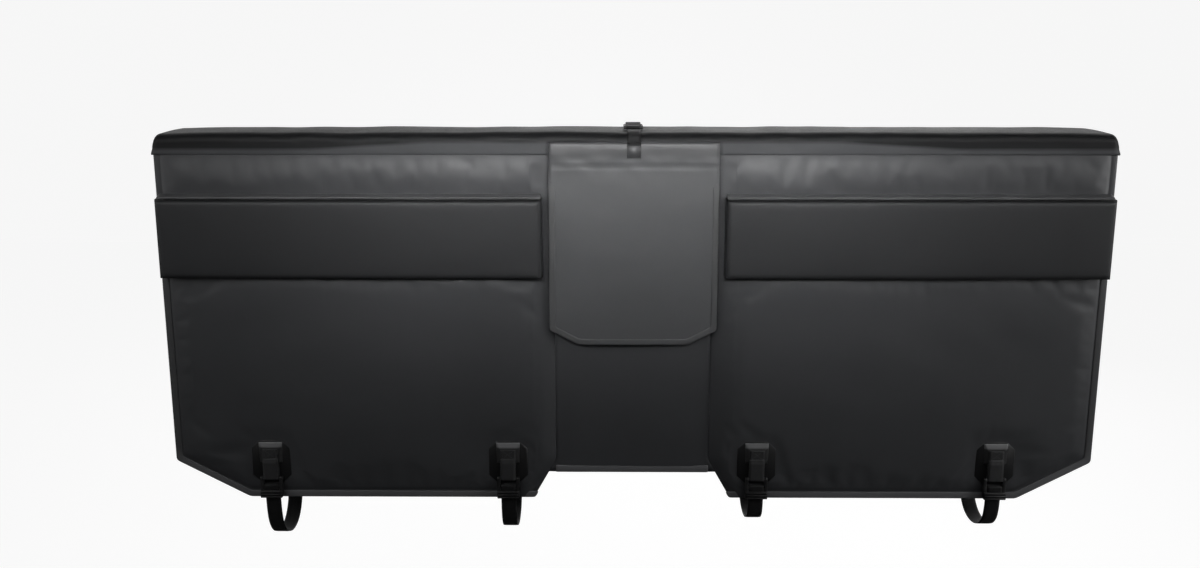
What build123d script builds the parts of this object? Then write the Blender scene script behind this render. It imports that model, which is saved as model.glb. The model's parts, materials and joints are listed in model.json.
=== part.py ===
"""Padded cover that hangs over a pickup's closed tailgate, so that bikes can ride over it.

A padded wall hangs outside the tailgate, a shorter one hangs inside the bed, and a
padded top joins them. Webbing loops pass under the tailgate and tighten at ladder
locks low on the outer wall. Millimetres.

Frame: X along the tailgate, +X to the right as seen from outside. +Y into the bed.
+Z up. Origin: middle of the seat, the flat underside that rests on the tailgate.
"""
import os
from math import cos, radians, sin

from build123d import *

os.makedirs("parts", exist_ok=True)

# ---- driving dimensions -------------------------------------------------------
HALF = 775.0            # half of the overall width
TAILGATE = 80.0         # thickness of tailgate that the pad goes over
SKIN = 1.2              # coated fabric
FRONT_T = 15.0          # outer wall
REAR_T = 12.0           # bed-side wall
TOP_T = 15.0            # padding on the tailgate's top edge
ROLL_R = 15.0           # rounding along the top's long edges
END_R = 15.0            # rounding of the top's ends
SEAM_Z = -17.0          # lower edge of the top cover

WING_IN = 126.0         # the raised wings start this far from the middle
WING_FLARE = 163.0      # lower inner corner of a wing
WING_FLARE_Z = -545.0   # where the inner edge turns out to that corner
WING_BOTTOM = -611.0
CHAMFER_X = 653.0       # outer lower corner is cut off between these
CHAMFER_Z = -545.0
CENTRE_BOTTOM = -569.0
INNER_SLOPE = 29.0      # width of the wing's slope down to the middle
EDGE_SLOPE = 7.0        # width of the bevel on its other edges

REAR_BOTTOM = -430.0
REAR_CUT = 45.0         # cut-off lower corners of the bed-side wall

BUMPER = (148.0, 768.0, -221.0, -89.0)   # x from, x to, z from, z to
BUMPER_T = 24.0
BUMPER_BEVEL = 6.0

HEADER_Z = -39.0        # the flap hangs from here
FLAP_HALF = 137.0
FLAP_CORNER = (90.0, -312.0)
FLAP_BOTTOM = -336.0
FLAP_T = 1.6
KEEPER_PIVOT = (-14.0, 19.1)  # Y and Z of the bar that the small lock on top swings on
WINDOW = (98.0, -280.0, -72.0)           # half width, z from, z to

WEB = 25.4              # tie-down and bike webbing
WEB_T = 1.6
STATIONS = (-612.0, -210.0, 210.0, 612.0)  # tie-downs across the width
DROPS = (0.93, 0.78, 0.58, 0.71)         # how far each loop hangs, against LOOP
BIKES = [260.0 * (i - 2.5) for i in range(6)]  # bike straps across the width
BIKE_PIVOT_Z = -67.0    # they swing out from here

# ---- places worked out from them ----------------------------------------------
IN_FACE = -TAILGATE / 2             # outer wall, side against the tailgate
OUT_FACE = IN_FACE - FRONT_T        # outer wall, visible side
BED_IN = TAILGATE / 2
BED_OUT = BED_IN + REAR_T
PAD_IN = IN_FACE - SKIN             # foam between the liner and the cover
PAD_OUT = OUT_FACE + SKIN
LOCK_Y = OUT_FACE - 4.7             # line of the ladder locks' bars
LOCK_Z = -573.0                     # their pivot bar
BAR_R = 1.8
LOCK_GAP = 0.3                      # clearance between webbing and a bar
RAIL_R = 3.2                        # half thickness of a lock's side rails


# ---- helpers ------------------------------------------------------------------
def block(x0, x1, y0, y1, z0, z1):
    """A box between two corners."""
    centre = ((x0 + x1) / 2, (y0 + y1) / 2, (z0 + z1) / 2)
    return Pos(*centre) * Box(abs(x1 - x0), abs(y1 - y0), abs(z1 - z0))


def plate(outline, y0, y1):
    """An X-Z outline given thickness along Y."""
    wire = Polyline(*[(x, y0, z) for x, z in outline], close=True)
    return extrude(make_face(wire), amount=abs(y1 - y0), dir=(0, 1 if y1 > y0 else -1, 0))


def bar(outline, x0, x1):
    """A Y-Z outline run along X."""
    wire = Polyline(*[(x0, y, z) for y, z in outline], close=True)
    return extrude(make_face(wire), amount=x1 - x0, dir=(1, 0, 0))


def rod(y, z, radius, x0, x1):
    """A round bar along X."""
    return Pos((x0 + x1) / 2, y, z) * Rot(0, 90, 0) * Cylinder(radius, abs(x1 - x0))


def inset(outline, widths):
    """Move each edge of a closed outline inwards by its own width."""
    turn = sum(a[0] * b[1] - b[0] * a[1] for a, b in zip(outline, outline[1:] + outline[:1]))
    side = 1 if turn > 0 else -1
    lines = []
    for (ax, az), (bx, bz), width in zip(outline, outline[1:] + outline[:1], widths):
        length = ((bx - ax) ** 2 + (bz - az) ** 2) ** 0.5
        nx, nz = -side * (bz - az) / length, side * (bx - ax) / length
        lines.append((nx, nz, nx * ax + nz * az + width))
    moved = []
    for (a1, b1, c1), (a2, b2, c2) in zip(lines[-1:] + lines[:-1], lines):
        det = a1 * b2 - a2 * b1
        moved.append(((c1 * b2 - c2 * b1) / det, (a1 * c2 - a2 * c1) / det))
    return moved


def tapered(outline, widths, y_wide, y_narrow):
    """A slab whose edges slope: full outline at y_wide, inset at y_narrow."""
    wide = Wire.make_polygon([(x, y_wide, z) for x, z in outline])
    narrow = Wire.make_polygon([(x, y_narrow, z) for x, z in inset(outline, widths)])
    return Solid.make_loft([wide, narrow], ruled=True)


def flipped(outline, side):
    """The outline as it is for side 1, and mirrored for side -1."""
    return outline if side > 0 else [(-x, z) for x, z in reversed(outline)]


def flipped_widths(widths, side):
    """Widths follow their edges when the outline is mirrored."""
    return widths if side > 0 else list(reversed(widths[:-1])) + widths[-1:]


def loop_section(bar_z, up):
    """Webbing folded round a lock's bar: half a ring and two legs, as a Y-Z face."""
    inner, outer = BAR_R + LOCK_GAP, BAR_R + LOCK_GAP + WEB_T
    ring = Circle(outer) - Circle(inner)
    legs_end = 26.0
    legs = Rectangle(2 * outer, legs_end, align=(Align.CENTER, Align.MIN))
    legs -= Rectangle(2 * inner, legs_end, align=(Align.CENTER, Align.MIN))
    half = Rectangle(2 * outer, outer, align=(Align.CENTER, Align.MAX))
    section = (ring & half) + legs
    plane = Plane(origin=(0, LOCK_Y, bar_z), x_dir=(0, 1, 0), z_dir=(1, 0, 0))
    return plane * (section if up else Rot(0, 0, 180) * section)


def write(name, *solids):
    """Write one node."""
    group = solids[0] if len(solids) == 1 else Compound(children=list(solids))
    export_step(group, f"parts/{name}.step")


# ---- outer wall: two raised wings and a low middle ------------------------------
WIDTHS = [0.0, EDGE_SLOPE, EDGE_SLOPE, EDGE_SLOPE, INNER_SLOPE / 2, INNER_SLOPE]


def wing_outline(top):
    """Back outline of the right wing, clockwise from its inner top corner."""
    return [
        (WING_IN, top), (HALF, top), (HALF, CHAMFER_Z), (CHAMFER_X, WING_BOTTOM),
        (WING_FLARE, WING_BOTTOM), (WING_IN, WING_FLARE_Z),
    ]


def make_wing(side, label):
    widths = flipped_widths(WIDTHS, side)
    cover = flipped(wing_outline(SEAM_Z), side)
    skins = flipped_widths([0.0] + [SKIN] * 5, side)
    outside = tapered(cover, widths, PAD_IN, OUT_FACE)
    hollow = tapered(inset(cover, skins), widths, PAD_IN, PAD_OUT)
    write(f"front_cover_{label}", outside - hollow)
    foam = inset(flipped(wing_outline(0.0), side), skins)
    write(f"front_foam_{label}", tapered(foam, widths, PAD_IN, PAD_OUT))
    write(f"front_liner_{label}", plate(foam, PAD_IN, IN_FACE))

    write(f"hem_{label}", make_hem(side))


def make_hem(side):
    """Tape along the wing's outer and lower edges."""
    tape, tape_t = 9.0, 0.6
    top = BUMPER[2] - 1.0
    outer = inset(wing_outline(top), [w + 0.5 if i else 0.0 for i, w in enumerate(WIDTHS)])
    inner = inset(outer, [0.0] + [tape] * 3 + [0.0] * 2)
    strip = outer[1:5] + inner[4:0:-1]
    return plate(flipped(strip, side), OUT_FACE, OUT_FACE - tape_t)


def make_centre():
    half = CENTRE_BOTTOM - WING_FLARE_Z
    flare = (WING_FLARE - WING_IN) / (WING_BOTTOM - WING_FLARE_Z) * half
    wide = WING_IN + flare
    half_w, low, high = WINDOW
    y0, y1 = PAD_IN - SKIN, IN_FACE
    # sewn from five flat pieces round the window, so that collision stays open there
    sides = [block(s * half_w, s * WING_IN, y0, y1, low, high) for s in (-1, 1)]
    above = block(-WING_IN, WING_IN, y0, y1, high, 0.0)
    below = block(-WING_IN, WING_IN, y0, y1, WING_FLARE_Z, low)
    foot = plate([(-WING_IN, WING_FLARE_Z), (WING_IN, WING_FLARE_Z),
                  (wide, CENTRE_BOTTOM), (-wide, CENTRE_BOTTOM)], y0, y1)
    write("centre_panel", *sides, above, below, foot)

    tape, tape_t = 12.0, 0.8
    face = PAD_IN - SKIN
    frame = block(-half_w - tape, half_w + tape, face - tape_t, face, low - tape, high + tape)
    frame -= block(-half_w, half_w, face - 5, face + 5, low, high)
    write("window_binding", frame)
    hem = [(-WING_IN, CENTRE_BOTTOM + tape), (WING_IN, CENTRE_BOTTOM + tape),
           (WING_IN, CENTRE_BOTTOM), (-WING_IN, CENTRE_BOTTOM)]
    write("centre_hem", plate(hem, face - tape_t, face))


def make_bumper(side, label):
    x0, x1, z0, z1 = BUMPER
    outline = flipped([(x0, z1), (x1, z1), (x1, z0), (x0, z0)], side)
    face = OUT_FACE - BUMPER_T
    outside = tapered(outline, [BUMPER_BEVEL] * 4, OUT_FACE, face)
    core = tapered(inset(outline, [SKIN] * 4), [BUMPER_BEVEL] * 4, OUT_FACE, face + SKIN)
    write(f"bumper_cover_{label}", outside - core)
    write(f"bumper_foam_{label}", core)


# ---- top and bed side -----------------------------------------------------------
def top_body(skin, low):
    """The top's solid above low, this far inside the cover, with rounded edges and ends."""
    front, back, high = OUT_FACE + skin, BED_OUT - skin, TOP_T - skin
    deep = 200.0
    with BuildSketch(Plane.YZ) as section:
        with Locations(((front + back) / 2, high)):
            Rectangle(back - front, deep, align=(Align.CENTER, Align.MAX))
        fillet(section.vertices().group_by(Axis.Z)[-1], ROLL_R - skin)
    with BuildSketch(Plane.XZ) as side:
        with Locations((0, high)):
            Rectangle(2 * (HALF - skin), deep, align=(Align.CENTER, Align.MAX))
        fillet(side.vertices().group_by(Axis.Z)[-1], END_R - skin)
    long = extrude(section.sketch, amount=HALF, both=True)
    body = long & extrude(side.sketch, amount=deep, both=True)
    return body & block(-HALF, HALF, front - 1, back + 1, low, high)


def make_top():
    channel = block(-HALF - 10, HALF + 10, IN_FACE, BED_IN, SEAM_Z - 10, 0.0)
    foam = top_body(SKIN, 0.0)
    inside = top_body(SKIN, SEAM_Z - 10)
    shell = top_body(0.0, SEAM_Z)
    shell -= inside
    seat_half = BED_IN - 1.0
    seat = block(3.0 - HALF, HALF - 3.0, -seat_half, seat_half, 0.0, SKIN)
    write("top_cover", shell - channel)
    write("top_foam", foam - seat)
    write("top_liner", seat)

    tape_h, tape_t = 8.0, 0.6
    front = block(-HALF + 8, HALF - 8, OUT_FACE - tape_t, OUT_FACE, SEAM_Z - tape_h, SEAM_Z)
    for_flap = block(-FLAP_HALF - 1, FLAP_HALF + 1, -100, 0, -100, 0)
    write("top_seam", *(front - for_flap).solids())


def make_rear():
    outline = [(-HALF, 0.0), (HALF, 0.0), (HALF, REAR_BOTTOM + REAR_CUT),
               (HALF - REAR_CUT, REAR_BOTTOM), (REAR_CUT - HALF, REAR_BOTTOM),
               (-HALF, REAR_BOTTOM + REAR_CUT)]
    cover = [(x, min(z, SEAM_Z)) for x, z in outline]
    slopes = [0.0] + [5.0] * 5
    pad_in = BED_IN + SKIN
    outside = tapered(cover, slopes, pad_in, BED_OUT)
    hollow = tapered(inset(cover, [0.0] + [SKIN] * 5), slopes, pad_in, BED_OUT - SKIN)
    foam = tapered(inset(outline, [0.0] + [SKIN] * 5), slopes, pad_in, BED_OUT - SKIN)
    write("rear_cover", outside - hollow)
    write("rear_foam", foam)
    write("rear_liner", plate(inset(outline, [0.0] + [SKIN] * 5), BED_IN, pad_in))


# ---- flap over the window ---------------------------------------------------------
def flap_outline(top):
    corner_x, corner_z = FLAP_CORNER
    return [(-FLAP_HALF, top), (FLAP_HALF, top), (FLAP_HALF, corner_z), (corner_x, FLAP_BOTTOM),
            (-corner_x, FLAP_BOTTOM), (-FLAP_HALF, corner_z)]


def make_flap():
    header_in, header_out = WING_IN - 0.5, WING_IN + INNER_SLOPE - 4.0
    with BuildSketch(Plane.XY.offset(HEADER_Z)) as plan:
        with BuildLine():
            Polyline((-header_in, PAD_IN - SKIN), (header_in, PAD_IN - SKIN),
                     (header_out, PAD_OUT), (-header_out, PAD_OUT), close=True)
        make_face()
    write("header_foam", extrude(plan.sketch, amount=-HEADER_Z))
    write("header_cover", block(-header_out, header_out, OUT_FACE, PAD_OUT, HEADER_Z, SEAM_Z))
    write("flap_header",
          block(-FLAP_HALF, FLAP_HALF, OUT_FACE - FLAP_T, OUT_FACE, HEADER_Z + 1.0, -4.0))

    pivot_gap, tape, tape_t = 1.5, 10.0, 0.8
    outline = flap_outline(HEADER_Z - pivot_gap)
    write("access_flap", plate(outline, OUT_FACE - FLAP_T, OUT_FACE))
    inner = inset(outline, [0.0] + [tape] * 5)
    strip = outline[1:] + outline[:1] + inner[:1] + inner[:0:-1]
    write("flap_hem", plate(strip, OUT_FACE - FLAP_T - tape_t, OUT_FACE - FLAP_T))


def make_keeper():
    """Webbing from the flap's header over the top, to a small lock that lies there."""
    half = WEB / 2 - 1.2
    low, high, pad_t = -25.0, -4.5, 1.8
    outside = OUT_FACE - FLAP_T
    write("keeper_patch", block(-half, half, outside - pad_t, outside, low, high))

    inner, outer = ROLL_R + 0.2, ROLL_R + 0.2 + WEB_T
    roll_y = OUT_FACE + ROLL_R
    bar_y, bar_z = KEEPER_PIVOT
    with BuildSketch(Plane.YZ) as arch:
        with Locations((roll_y, 0)):
            Circle(outer)
            Circle(inner, mode=Mode.SUBTRACT)
        with Locations((roll_y, 0)):
            Rectangle(outer, outer, align=(Align.MAX, Align.MIN), mode=Mode.INTERSECT)
    run = block(-half, half, roll_y, bar_y, inner, outer)
    drop = block(-half, half, roll_y - outer, roll_y - inner, high + 1.0, 0.0)
    ring = rod(bar_y, bar_z, BAR_R + LOCK_GAP + WEB_T, -half, half)
    ring -= rod(bar_y, bar_z, BAR_R + LOCK_GAP, -half - 1, half + 1)
    write("keeper_webbing", extrude(arch.sketch, amount=half, both=True) + run + drop + ring)

    rail_in, rail_out, lock_end = WEB / 2 + 0.4, WEB / 2 + 3.3, 30.0
    base_z = TOP_T + inner - ROLL_R + WEB_T + 0.4
    rails = [block(s * rail_in, s * rail_out, bar_y - 3, bar_y + lock_end, base_z, base_z + 5)
             for s in (-1, 1)]
    lock = rails[0] + rails[1]
    for offset in (0.0, 10.0, 20.0):
        lock += rod(bar_y + offset, bar_z, BAR_R, -rail_out + 1, rail_out - 1)
    lock += block(-rail_out, rail_out, bar_y + lock_end - 6, bar_y + lock_end, base_z, base_z + 5)
    for rib in range(3):
        y = bar_y + lock_end - 10.0 + 4.0 * rib
        lock += block(-rail_in, rail_in, y, y + 2.4, base_z + 3.5, base_z + 9.5 - rib)
    lock += block(-rail_in, rail_in, bar_y + lock_end - 10.5, bar_y + lock_end, base_z + 3, base_z + 6)
    write("keeper_buckle", lock)


# ---- tie-downs ----------------------------------------------------------------
# Side view of a loop: Y, and Z below the wing's lower edge as hung at full drop.
LOOP = [
    (-57.0, 3.6), (-56.2, -24.0), (-50.0, -56.0), (-32.0, -84.0), (-4.0, -97.0), (24.0, -91.0),
    (43.0, -62.0), (49.0, -18.0), (50.0, 34.0), (52.8, 92.0), (53.7, 150.0), (53.8, 196.0),
]


def loop_points(drop):
    """The loop's route: only what hangs below the wing's edge gets shorter."""
    return [(y, WING_BOTTOM + (z * drop if z < 0 else z)) for y, z in LOOP]


def corner_radii(points):
    """The largest tangent arc that each corner's two runs allow."""
    radii = []
    for a, b, c in zip(points, points[1:], points[2:]):
        first, second = Vector(*b) - Vector(*a), Vector(*c) - Vector(*b)
        half_turn = radians(first.get_angle(second)) / 2
        radii.append(0.45 * min(first.length, second.length) * cos(half_turn) / sin(half_turn))
    return radii


def make_strap(number, x, drop):
    points = [(x, y, z) for y, z in loop_points(drop)]
    radii = corner_radii(points)
    route = FilletPolyline(*points, radius=radii)
    start = Plane(origin=points[0], x_dir=(1, 0, 0), z_dir=route % 0)
    ribbon = sweep(start * Rectangle(WEB, WEB_T), path=route)
    write(f"tie_down_strap_{number}", ribbon)
    wanted = WEB * WEB_T * route.length
    print(f"strap {number}: length {route.length:.1f}, volume against section times length "
          f"{ribbon.volume / wanted:.4f}, radii {[round(r) for r in radii]}")


def octagon(x, z, half_w, half_h, cut):
    return [(x - half_w + cut, z + half_h), (x + half_w - cut, z + half_h),
            (x + half_w, z + half_h - cut), (x + half_w, z - half_h + cut),
            (x + half_w - cut, z - half_h), (x - half_w + cut, z - half_h),
            (x - half_w, z - half_h + cut), (x - half_w, z + half_h - cut)]


def make_lock(number, x):
    """Ladder lock: side rails, a pivot bar, cross bars and a ribbed lip to lift it by."""
    rail_in, rail_out = WEB / 2 + 0.6, WEB / 2 + 6.0
    back, front = LOCK_Y + RAIL_R, LOCK_Y - RAIL_R
    bottom = LOCK_Z - 33.5
    body = Part()
    for side in (-1, 1):
        near, far = x + side * rail_in, x + side * rail_out
        body += block(near, far, back, front, bottom, LOCK_Z)
        body += rod(LOCK_Y, LOCK_Z, RAIL_R, near, far)
        body += block(near, far, LOCK_Y, LOCK_Y - RAIL_R - 2.0, bottom, LOCK_Z - 21.0)
    for drop in (0.0, 14.0, 23.0):
        body += rod(LOCK_Y, LOCK_Z - drop, BAR_R, x - rail_in - 1, x + rail_in + 1)
    lip_y = LOCK_Y - BAR_R - LOCK_GAP - WEB_T - 0.4
    body += block(x - rail_out, x + rail_out, lip_y - 2.4, lip_y, bottom, LOCK_Z - 21.0)
    for rib in range(2):
        body += rod(lip_y - 2.2, LOCK_Z - 23.0 - 8.0 * rib, 1.3, x - rail_out + 1, x + rail_out - 1)
    write(f"ladder_lock_{number}", body)
    threaded = extrude(loop_section(LOCK_Z - 14.0, up=False), amount=WEB / 2, both=True)
    trim = block(-WEB, WEB, LOCK_Y - 10, LOCK_Y + 10, LOCK_Z - 60, bottom - 0.6)
    write(f"threaded_webbing_{number}", Pos(x, 0, 0) * (threaded - trim))


def make_tie_downs():
    patches, pads, tabs, rear_patches = [], [], [], []
    patch_t, pad_half, pad_low, pad_high, pad_t = 0.8, 19.0, -546.0, -515.0, 3.6
    face = OUT_FACE - patch_t
    for number, (x, drop) in enumerate(zip(STATIONS, DROPS), 1):
        patches.append(plate(octagon(x, -541.0, 32.5, 31.0, 14.0), face, OUT_FACE))
        outline = [(x - pad_half, pad_high), (x + pad_half, pad_high),
                   (x + pad_half, pad_low), (x - pad_half, pad_low)]
        pads.append(tapered(outline, [4.0, 1.5, 0.5, 1.5], face, face - pad_t))
        tab = extrude(loop_section(LOCK_Z, up=True), amount=WEB / 2, both=True)
        trim = block(-WEB, WEB, LOCK_Y - 20, LOCK_Y + 20, pad_low, LOCK_Z + 60)
        tabs.append(Pos(x, 0, 0) * (tab - trim))
        make_lock(number, x)
        make_strap(number, x, drop)
        rear_patches.append(plate(octagon(x, -408.0, 27.0, 20.0, 8.0), BED_OUT, BED_OUT + 0.8))
    write("anchor_patches", *patches)
    write("anchor_pads", *pads)
    write("lock_tabs", *tabs)
    write("rear_anchor_patches", *rear_patches)


# ---- bike straps on the bed side --------------------------------------------------
def make_bike_straps():
    patch_t, stub_t, gap = 1.0, 1.8, 1.2
    strap_y = BED_OUT + patch_t + 0.2
    pivot_z, length = BIKE_PIVOT_Z, 285.0
    anchors = []
    for number, x in enumerate(BIKES, 1):
        anchor = plate(octagon(x, -52.0, 30.0, 24.0, 6.0), BED_OUT, BED_OUT + patch_t)
        anchor += block(x - WEB / 2, x + WEB / 2, BED_OUT + patch_t,
                        BED_OUT + patch_t + stub_t, pivot_z + gap, -36.0)
        anchors.append(anchor)
        top, low = pivot_z - gap, pivot_z - length
        write(f"bike_strap_{number}",
              block(x - WEB / 2, x + WEB / 2, strap_y, strap_y + WEB_T, low, top))
        buckle_y, grip = strap_y + WEB_T, 17.0
        buckle = block(x - grip, x + grip, buckle_y, buckle_y + 4.0, low + 18, low + 62)
        buckle += block(x - 13, x + 13, buckle_y + 3.0, buckle_y + 8.0, low + 36, low + 58)
        buckle += rod(buckle_y + 5.0, low + 40, 4.2, x - 13, x + 13)
        write(f"bike_buckle_{number}", buckle)
    write("bike_strap_anchors", *anchors)


for wing_side, wing_label in ((-1, "left"), (1, "right")):
    make_wing(wing_side, wing_label)
    make_bumper(wing_side, wing_label)
make_centre()
make_top()
make_rear()
make_flap()
make_keeper()
make_tie_downs()
make_bike_straps()
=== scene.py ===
import json
from math import cos, exp, pi, radians, sin, sqrt

import bmesh
import bpy
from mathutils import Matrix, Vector, noise


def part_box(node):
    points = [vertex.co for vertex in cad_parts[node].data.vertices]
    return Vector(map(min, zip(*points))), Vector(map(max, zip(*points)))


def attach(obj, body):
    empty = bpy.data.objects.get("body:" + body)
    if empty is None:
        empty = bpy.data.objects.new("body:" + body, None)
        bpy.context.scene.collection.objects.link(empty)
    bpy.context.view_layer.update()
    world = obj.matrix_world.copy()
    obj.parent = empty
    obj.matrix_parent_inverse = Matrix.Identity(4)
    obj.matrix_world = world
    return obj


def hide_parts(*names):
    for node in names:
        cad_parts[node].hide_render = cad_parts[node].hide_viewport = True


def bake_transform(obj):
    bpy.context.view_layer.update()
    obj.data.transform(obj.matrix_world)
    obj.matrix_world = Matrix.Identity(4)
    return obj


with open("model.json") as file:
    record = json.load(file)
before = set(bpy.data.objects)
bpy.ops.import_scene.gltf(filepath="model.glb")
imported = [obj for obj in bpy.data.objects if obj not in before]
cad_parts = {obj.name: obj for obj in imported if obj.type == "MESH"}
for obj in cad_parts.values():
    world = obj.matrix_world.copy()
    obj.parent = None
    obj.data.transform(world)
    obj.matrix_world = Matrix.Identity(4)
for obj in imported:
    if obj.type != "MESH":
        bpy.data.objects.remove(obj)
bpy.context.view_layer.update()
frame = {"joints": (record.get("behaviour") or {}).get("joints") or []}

MM = 0.001

# ---- places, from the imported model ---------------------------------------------
WING_LO, WING_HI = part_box("front_cover_right")
TOP_LO, TOP_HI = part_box("top_cover")
SEAT_LO, SEAT_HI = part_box("top_liner")
REAR_LO, REAR_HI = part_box("rear_cover")
LINER_LO, LINER_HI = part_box("front_liner_right")
BED_LINER_LO, BED_LINER_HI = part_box("rear_liner")
BUMPER_LO, BUMPER_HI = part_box("bumper_cover_right")
CENTRE_LO, CENTRE_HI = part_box("centre_panel")
WINDOW_LO, WINDOW_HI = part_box("window_binding")
FLAP_LO, FLAP_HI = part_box("access_flap")
HEADER_LO, HEADER_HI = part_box("flap_header")
PATCH_LO, PATCH_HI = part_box("keeper_patch")
KEEPER_LO, KEEPER_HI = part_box("keeper_buckle")
PADS_LO, PADS_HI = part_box("anchor_pads")
JOINTS = {joint["name"]: joint for joint in frame["joints"]}

HALF = TOP_HI[0]
FACE = WING_LO[1]                 # visible face of the outer wall
PAD_IN = WING_HI[1]               # where the wing's padding starts
IN_FACE = LINER_HI[1]             # side against the tailgate
SEAM_Z = WING_HI[2]
WING_BOTTOM = WING_LO[2]
WING_IN = WING_LO[0]
BED_IN, BED_OUT = BED_LINER_LO[1], REAR_HI[1]
TOP_Z = TOP_HI[2]

# corners of a wing's outline that no box gives
WING_FLARE, TURN_Z, CHAMFER_X = 163 * MM, -545 * MM, 653 * MM
REAR_CUT = 45 * MM
FLAP_CORNER = (90 * MM, -312 * MM)
STATIONS = [-612 * MM, -210 * MM, 210 * MM, 612 * MM]
BIKES = [260 * MM * (i - 2.5) for i in range(6)]
TIE_Z = -0.541                    # middle of a tie-down, where it pulls on the wing
TIE_PATCH_Z, REAR_PATCH_Z, BIKE_PATCH_Z = -545 * MM, -408 * MM, -52 * MM
ACROSS, UP, OUTWARDS, BEDWARDS = (1, 0, 0), (0, 0, 1), (0, -1, 0), (0, 1, 0)
WEB, WEB_T = 25.4 * MM, 1.6 * MM


# ---- materials -----------------------------------------------------------------
def principled(material):
    return material.node_tree.nodes["Principled BSDF"]


def new_material(name, colour, roughness, specular=0.5):
    material = bpy.data.materials.new(name)
    material.use_nodes = True
    shader = principled(material)
    shader.inputs["Base Color"].default_value = (*colour, 1)
    shader.inputs["Roughness"].default_value = roughness
    shader.inputs["Specular IOR Level"].default_value = specular
    return material


def add(material, kind, inputs=None, **settings):
    """A node, with its settings and its inputs: a socket links, anything else is a value."""
    made = material.node_tree.nodes.new(kind)
    for name, value in settings.items():
        setattr(made, name, value)
    for name, value in (inputs or {}).items():
        if isinstance(value, bpy.types.NodeSocket):
            material.node_tree.links.new(value, made.inputs[name])
        else:
            made.inputs[name].default_value = value
    return made


def to_shader(material, **sockets):
    shader = principled(material)
    for name, socket in sockets.items():
        material.node_tree.links.new(socket, shader.inputs[name.replace("_", " ")])


def maths(material, operation, a, b=None, clamp=False):
    inputs = {0: a} if b is None else {0: a, 1: b}
    return add(material, "ShaderNodeMath", inputs, operation=operation, use_clamp=clamp).outputs[0]


def cloth_axes(material):
    """Position across the pad, and position along a cloth that runs up, over and down."""
    place = add(material, "ShaderNodeTexCoord").outputs["Object"]
    parts = add(material, "ShaderNodeSeparateXYZ", {0: place}).outputs
    return place, parts["X"], maths(material, "SUBTRACT", parts["Z"], parts["Y"])


def weave(material, across, along, pitch):
    """Plain weave seen through a coating: threads over and under, from 0 to 1."""
    turn = 2 * pi / pitch
    one = maths(material, "SINE", maths(material, "MULTIPLY", across, turn))
    two = maths(material, "SINE", maths(material, "MULTIPLY", along, turn))
    return maths(material, "MULTIPLY_ADD", maths(material, "MULTIPLY", one, two), 0.5)


def ramp(material, factor, low, high, start=0.0, end=1.0):
    made = add(material, "ShaderNodeMapRange", {
        "Value": factor, "From Min": start, "From Max": end, "To Min": low, "To Max": high})
    return made.outputs["Result"]


def colour_ramp(material, factor, low, high):
    made = add(material, "ShaderNodeMix", {0: factor, 6: (*low, 1), 7: (*high, 1)}, data_type="RGBA")
    return made.outputs[2]


def cloud(material, place, scale, detail=3.0, roughness=0.55):
    made = add(material, "ShaderNodeTexNoise", {
        "Vector": place, "Scale": scale, "Detail": detail, "Roughness": roughness})
    return made.outputs["Fac"]


def bump(material, height, distance, strength=1.0, under=None):
    inputs = {"Height": height, "Distance": distance, "Strength": strength}
    if under is not None:
        inputs["Normal"] = under
    return add(material, "ShaderNodeBump", inputs).outputs["Normal"]


def coated_fabric(name, colour, roughness, specular=0.5, pitch=1.5 * MM, folds=1.0):
    """Coated cloth: scrim under the coating, slow creases, scuffs and a little dust."""
    material = new_material(name, colour, roughness, specular)
    place, across, along = cloth_axes(material)
    broad = cloud(material, place, 5.0, 2.0)
    fine = cloud(material, place, 160.0, 4.0, 0.65)
    scuff = cloud(material, place, 38.0, 5.0, 0.7)
    dark = tuple(c * 0.82 for c in colour)
    pale = tuple(c * 1.25 for c in colour)
    mix = maths(material, "ADD", maths(material, "MULTIPLY", broad, 0.6),
                maths(material, "MULTIPLY", scuff, 0.4))
    to_shader(material, Base_Color=colour_ramp(material, mix, dark, pale))
    rough = ramp(material, maths(material, "ADD", scuff, fine), roughness - 0.07, roughness + 0.09,
                 0.6, 1.4)
    to_shader(material, Roughness=rough)
    slow = bump(material, cloud(material, place, 9.0, 3.0, 0.5), 2.2 * MM * folds, 0.6)
    grain = bump(material, fine, 0.12 * MM, 0.5, slow)
    to_shader(material, Normal=bump(material, weave(material, across, along, pitch),
                                    0.06 * MM, 0.55, grain))
    return material


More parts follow.
